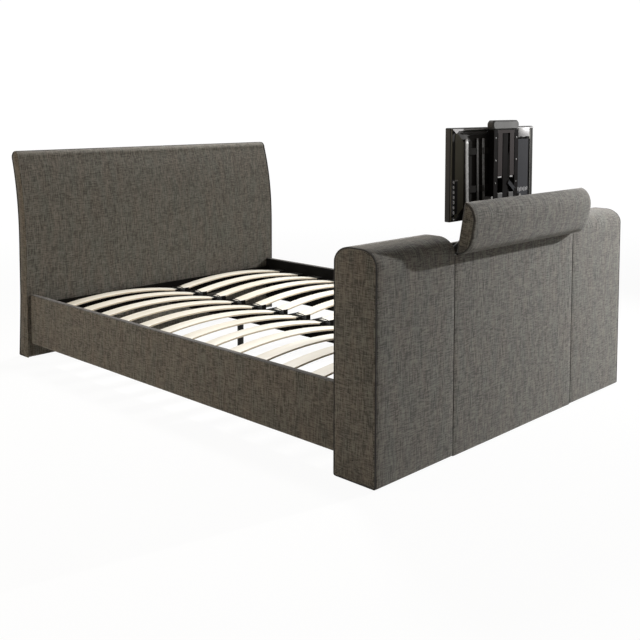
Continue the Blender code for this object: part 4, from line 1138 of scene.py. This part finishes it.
def dress_kept_nodes():
    sides = ("left", "right")
    for nodes, material, slot, cut in (
            (("centre_rail", "cross_rail_foot", "cross_rail_head", "footboard_base_board"),
             BLACK_BOARD, "black_board", 0.0009),
            (["slat_bearer_" + side for side in sides], HOLDER_PLASTIC, "black_plastic", 0.0006),
            (["stay_" + side + "_tube" for side in sides], BLACK_STEEL, "black_steel", 0.0004),
            (["stay_" + side + "_rod" for side in sides], ZINC, "zinc_steel", 0.0),
            (("centre_leg_1", "centre_leg_2", "lift_motor"), BLACK_PLASTIC, "black_plastic", 0.0),
            (("hinge_fixed_leaf", "hinge_lid_leaf"), BLACK_STEEL, "black_steel", 0.0),
            (("lift_column", "mast_frame", "mast_rod"), BLACK_STEEL, "black_steel", 0.0005),
            (("tv_bracket",), BRACKET_STEEL, "black_steel", 0.0005),
            (("lift_middle_stage",), ZINC, "zinc_steel", 0.0004),
            (("mast_guide",), GUIDE_STEEL, "zinc_steel", 0.0004),
            (("mast_cap",), GREY_PLASTIC, "grey_plastic", 0.0),
            (("tv_bezel",), BLACK_PLASTIC, "black_plastic", 0.0006),
            (("tv_back_cover",), COVER_PLASTIC, "black_plastic", 0.0008),
            (("tv_socket_panel",), SOCKET_GREY, "grey_plastic", 0.0004),
            (("tv_screen",), SCREEN, "screen", 0.0003)):
        for node in nodes:
            dress(node, material, cut)


def make_tv_details():
    """What shows on the television's back: top moulding, plates, strips, sockets and ribs."""
    low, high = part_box("tv_back_cover")
    face, top = low.y, high.z
    panel_low, panel_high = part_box("tv_socket_panel")
    rim = panel_high.y
    right = low.x + 0.419
    shape = bmesh.new()
    make_top_moulding(shape, low, high, rim)
    for start, end, foot, head, proud, material, cut in (
            (right, high.x - 0.052, top - 0.041, top - 0.0035, 0.0006, 0, 0.0020),
            (right, high.x - 0.0545, low.z + 0.066, top - 0.047, 0.0010, 1, 0.0016),
            (right + 0.003, high.x - 0.056, low.z + 0.050, low.z + 0.062, 0.0004, 2, 0.0012)):
        soft_block(shape, (start, face - proud, foot), (end, face + 0.0030, head), material, cut)
    plates = new_piece("tv_cover_plates", shape, [PALE_PLASTIC, SOCKET_GREY, GREY_PLASTIC])
    plates.data.set_sharp_from_angle(angle=SHARP_ANGLE)
    place_on(plates, "tv_mast", "grey_plastic")
    bracket_low, bracket_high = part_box("tv_bracket")
    front, crest = bracket_low.y, bracket_high.z
    shape = bmesh.new()
    for left, end, foot, lean, proud in ((-0.1925, -0.1740, 0.0, 0.0075, 0.0014),
                                         (-0.1195, -0.1090, 0.0, 0.009, 0.0014),
                                         (-0.0830, -0.0690, 0.012, 0.009, 0.0003)):
        bent_strip(shape, (left, front - proud, bracket_low.z + foot),
                   (end, front + 0.0020, crest), lean)
    place_on(new_piece("bracket_strips", shape, [ZINC]), "tv_mast", "zinc_steel")
    block_piece("tv_cover_backing",
                [((low.x + 0.0625, face - 0.0008, low.z + 0.060),
                  (right - 0.002, face + 0.0020, top - 0.0465), 0, 0.0007)],
                [BRACKET_STEEL], "tv_mast", "black_plastic")
    foot, head = bracket_low.z + 0.004, top - 0.047
    wing = [((0.1330, front - 0.0003, foot), (0.2440, front + 0.0014, head), 0, 0.0006),
            ((0.2412, front - 0.0030, foot), (0.2440, front + 0.0010, head), 0, 0.0007)]
    for step in range(LABEL_COUNT):
        left = 0.1400 + 0.0108 * step
        wing.append(((left, front - 0.0006, WING_LABEL + 0.002 * (step % 3)),
                     (left + 0.0062, front + 0.0008, WING_LABEL + 0.018 - 0.003 * (step % 2)),
                     1, 0.0004))
    block_piece("bracket_wing", wing, [SOCKET_GREY, PALE_PLASTIC], "tv_mast", "black_steel")
    bar = panel_high.x + 0.0050
    block_piece("tv_side_ledge",
                [((bar, rim - 0.0044, panel_low.z + 0.004),
                  (bar + 0.0110, rim - 0.0006, panel_high.z - 0.008), 0, 0.0010),
                 ((bar - 0.0060, rim - 0.0060, panel_high.z - 0.006),
                  (bar + 0.0120, rim - 0.0020, panel_high.z - 0.0015), 1, 0.0010)],
                [SOCKET_GREY, PALE_PLASTIC], "tv_mast", "grey_plastic")
    shape = bmesh.new()
    turned(shape, [(0.0056, 0.0), (0.0056, 0.0016), (0.0046, 0.0022), (0.0034, 0.0022),
                   (0.0030, 0.0004), (0.0014, 0.0004), (0.0012, 0.0018), (0.0005, 0.0020)], 18)
    jack = new_piece("one socket", shape, [PALE_PLASTIC])
    pitch = (panel_high.z - panel_low.z) / SOCKET_COUNT
    jacks = row("tv_sockets", jack, PALE_PLASTIC, SOCKET_COUNT,
                ((panel_low.x + panel_high.x) / 2, panel_low.y, panel_low.z + pitch / 2),
                (0, 0, pitch), turn=(math.pi / 2, 0, 0))
    bpy.data.objects.remove(jack)
    place_on(jacks, "tv_mast", "zinc_steel")
    shape = bmesh.new()
    soft_block(shape, (-0.0010, -0.0012, -0.010), (0.0010, 0.0012, 0.010), 0, 0.0005)
    rib = new_piece("one rib", shape, [GREY_PLASTIC])
    ribs = [row("ribs", rib, GREY_PLASTIC, RIB_COUNT, (low.x + 0.060, face + 0.0096, top - 0.0235),
                (0.0062, 0, 0), turn=(math.atan2(COVER_RISE, COVER_RUN), 0, 0), seed=8)]
    bpy.data.objects.remove(rib)
    for count, start, step in ((2, (low.x + 0.014, rim - 0.0006, low.z + 0.008), (0.524, 0, 0)),
                               (3, (low.x + 0.100, face - 0.0002, low.z + 0.062), (0.17, 0, 0))):
        ribs.append(row("cover screws", SCREW, ZINC, count, start, step,
                        turn=(math.pi / 2, 0, 0), wobble=0.4, seed=9))
    place_on(join_pieces("tv_cover_ribs", ribs), "tv_mast", "black_plastic")


def make_top_moulding(shape, low, high, rim):
    """Bright lip along the cover's top, whose lower edge rises from its left corner."""
    top = high.z
    outline = [(low.x + 0.002, 0.0015), (low.x + 0.021, 0.0190), (low.x + 0.040, 0.0095),
               (low.x + 0.100, 0.0068), (low.x + 0.230, 0.0058), (high.x - 0.003, 0.0058),
               (high.x - 0.002, 0.0015)]
    rise = COVER_RISE / COVER_RUN
    rings = []
    for lift in (0.0002, 0.0016):
        rings.append([shape.verts.new((x, rim - 0.0002 - rise * max(0.0, drop - 0.006) - lift,
                                       top - drop)) for x, drop in outline])
    bridge(shape, *rings)
    shape.faces.new(rings[0])
    shape.faces.new(list(reversed(rings[1])))
    bmesh.ops.recalc_face_normals(shape, faces=shape.faces)


def bent_strip(shape, low, high, lean, steps=14):
    """An upright steel strip that leans a little and is dished along its middle."""
    middle, half = (low[0] + high[0]) / 2, (high[0] - low[0]) / 2
    rings = []
    for step in range(steps + 1):
        share = step / steps
        x = middle + lean * (1 - share) ** 1.3
        narrow = 1.0 if 0.03 < share < 0.97 else 0.82
        z = between(low[2], high[2], share)
        section = [(-half, 0.0006), (-half * 0.72, 0.0), (0.0, 0.0007), (half * 0.72, 0.0),
                   (half, 0.0006), (half, high[1] - low[1]), (-half, high[1] - low[1])]
        rings.append([shape.verts.new((x + u * narrow, low[1] + v, z)) for u, v in section])
    for near, far in zip(rings, rings[1:]):
        for k, face in enumerate(bridge(shape, near, far)):
            face.smooth = k < 4
    shape.faces.new(rings[0])
    shape.faces.new(list(reversed(rings[-1])))
    bmesh.ops.recalc_face_normals(shape, faces=shape.faces)


def make_mast_details():
    """Wear blocks, the catch lever, the guide's tabs and the bolts."""
    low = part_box("mast_frame")[0]
    front, foot = low.y, low.z
    left, right = [corner.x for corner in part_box("mast_rod")]
    block_piece("mast_wear_blocks",
                [((start, front + 0.0010, foot + 0.010), (end, front + 0.0120, foot + 0.096), 0,
                  0.0022) for start, end in ((left - 0.0350, left - 0.0008),
                                             (right + 0.0008, right + 0.0350))],
                [GREY_PLASTIC], "tv_mast", "grey_plastic")
    block_piece("mast_lever",
                [((-0.028, -0.0008, -0.0085), (0.028, 0.0012, 0.0085), 0, 0.0007),
                 ((-0.028, -0.0012, 0.0048), (0.028, -0.0004, 0.0085), 0, 0.0004)],
                [SOCKET_GREY], "tv_mast", "zinc_steel",
                Matrix.Translation((right + 0.0215, front + 0.0009, foot + 0.119))
                @ Matrix.Rotation(math.radians(38), 4, "Y"))
    block_piece("mast_guide_tabs",
                [((start, front - 0.0002, 0.9530), (end, front + 0.0018, 0.9585), 0, 0.0007)
                 for start, end in ((-0.0150, 0.0100), (0.0660, 0.0860))],
                [PALE_PLASTIC], "tv_mast", "zinc_steel")
    bolts = [row("bolts", SCREW, ZINC, BOLT_COUNT, (side_x, front + 0.0015, foot + 0.050),
                 (0, 0, BOLT_PITCH), turn=(math.pi / 2, 0, 0), wobble=0.3, seed=12)
             for side_x in (left - 0.050, right + 0.050)]
    place_on(join_pieces("mast_bolts", bolts), "tv_mast", "zinc_steel")


def make_area_light(name, place, target, size, watts, colour=(1, 1, 1), spread_angle=math.pi):
    lamp = bpy.data.lights.new(name, "AREA")
    lamp.shape = "RECTANGLE"
    lamp.size, lamp.size_y = size
    lamp.energy = watts
    lamp.color = colour
    lamp.spread = spread_angle
    thing = bpy.data.objects.new(name, lamp)
    bpy.context.scene.collection.objects.link(thing)
    aim = (Vector(target) - Vector(place)).to_track_quat("-Z", "Y")
    thing.matrix_world = Matrix.Translation(place) @ aim.to_matrix().to_4x4()


def make_studio():
    """Pale floor, white surroundings and three lamps: a small one at the right that casts the
    shadows, a soft one above and a wide warm one at the left."""
    shape = bmesh.new()
    reach = 14.0
    corners = [shape.verts.new(spot) for spot in ((-reach, -reach, 0), (reach, -reach, 0),
                                                  (reach, reach + 2, 0), (-reach, reach + 2, 0))]
    shape.faces.new(corners)
    floor = new_piece("studio_floor", shape, [make_floor_material()],
                      Matrix.Translation((0, 0, -0.0008)))
    world = bpy.data.worlds.new("White studio")
    world.use_nodes = True
    bpy.context.scene.world = world
    tree = world.node_tree
    seen = seen_directly(tree)
    strength = spread(tree, seen, 0.0, 1.0, WORLD_LIGHT, WHITE)
    tree.links.new(strength, tree.nodes["Background"].inputs["Strength"])
    tint = blend_colour(tree, seen, (1.0, 0.885, 0.72, 1), (1, 1, 1, 1))
    tree.links.new(tint, tree.nodes["Background"].inputs["Color"])
    make_area_light("lamp_right", (3.36, -1.11, 1.76), (0.25, 0.0, 0.65), (0.07, 0.07), KEY_WATTS,
                    (1.0, 0.99, 0.975), math.radians(100))
    make_area_light("lamp_above", (0.7, 2.60, 3.1), (0.1, 1.1, 0.3), (0.6, 0.6), TOP_WATTS,
                    (1.0, 0.995, 0.985), math.radians(100))
    make_area_light("lamp_left", (-3.2, 1.9, 1.5), (-0.6, 1.0, 0.4), (1.4, 1.4), FILL_WATTS,
                    (1.0, 0.80, 0.58))


def make_camera():
    """The photograph's viewpoint, at the left of the footboard and above it."""
    camera = bpy.data.cameras.new("Photo camera")
    camera.sensor_width = 36.0
    camera.lens = 52.654
    camera.shift_y = -0.2344
    yaw, pitch, roll = math.radians(45.755), math.radians(4.037), math.radians(0.097)
    forward = Vector((math.sin(yaw) * math.cos(pitch), math.cos(yaw) * math.cos(pitch),
                      -math.sin(pitch)))
    level = Vector((math.cos(yaw), -math.sin(yaw), 0))
    upright = level.cross(forward)
    right = math.cos(roll) * level + math.sin(roll) * upright
    up = -math.sin(roll) * level + math.cos(roll) * upright
    place = Matrix((right, up, -forward)).transposed().to_4x4()
    thing = bpy.data.objects.new("photo_camera", camera)
    bpy.context.scene.collection.objects.link(thing)
    thing.matrix_world = Matrix.Translation((-3.0114, -1.9850, 1.2318)) @ place
    bpy.context.scene.camera = thing


make_towers()
make_panels()
make_headboard()
make_rails()
make_lid()
first_slat_y = make_slats()
make_holder_details(first_slat_y)
make_lid_staples()
make_head_ledger()
dress_kept_nodes()
make_tv_details()
make_mast_details()
for master in (SCREW, STAPLE):
    bpy.data.objects.remove(master)
make_studio()
make_camera()
bpy.context.scene.view_settings.view_transform = "Standard"
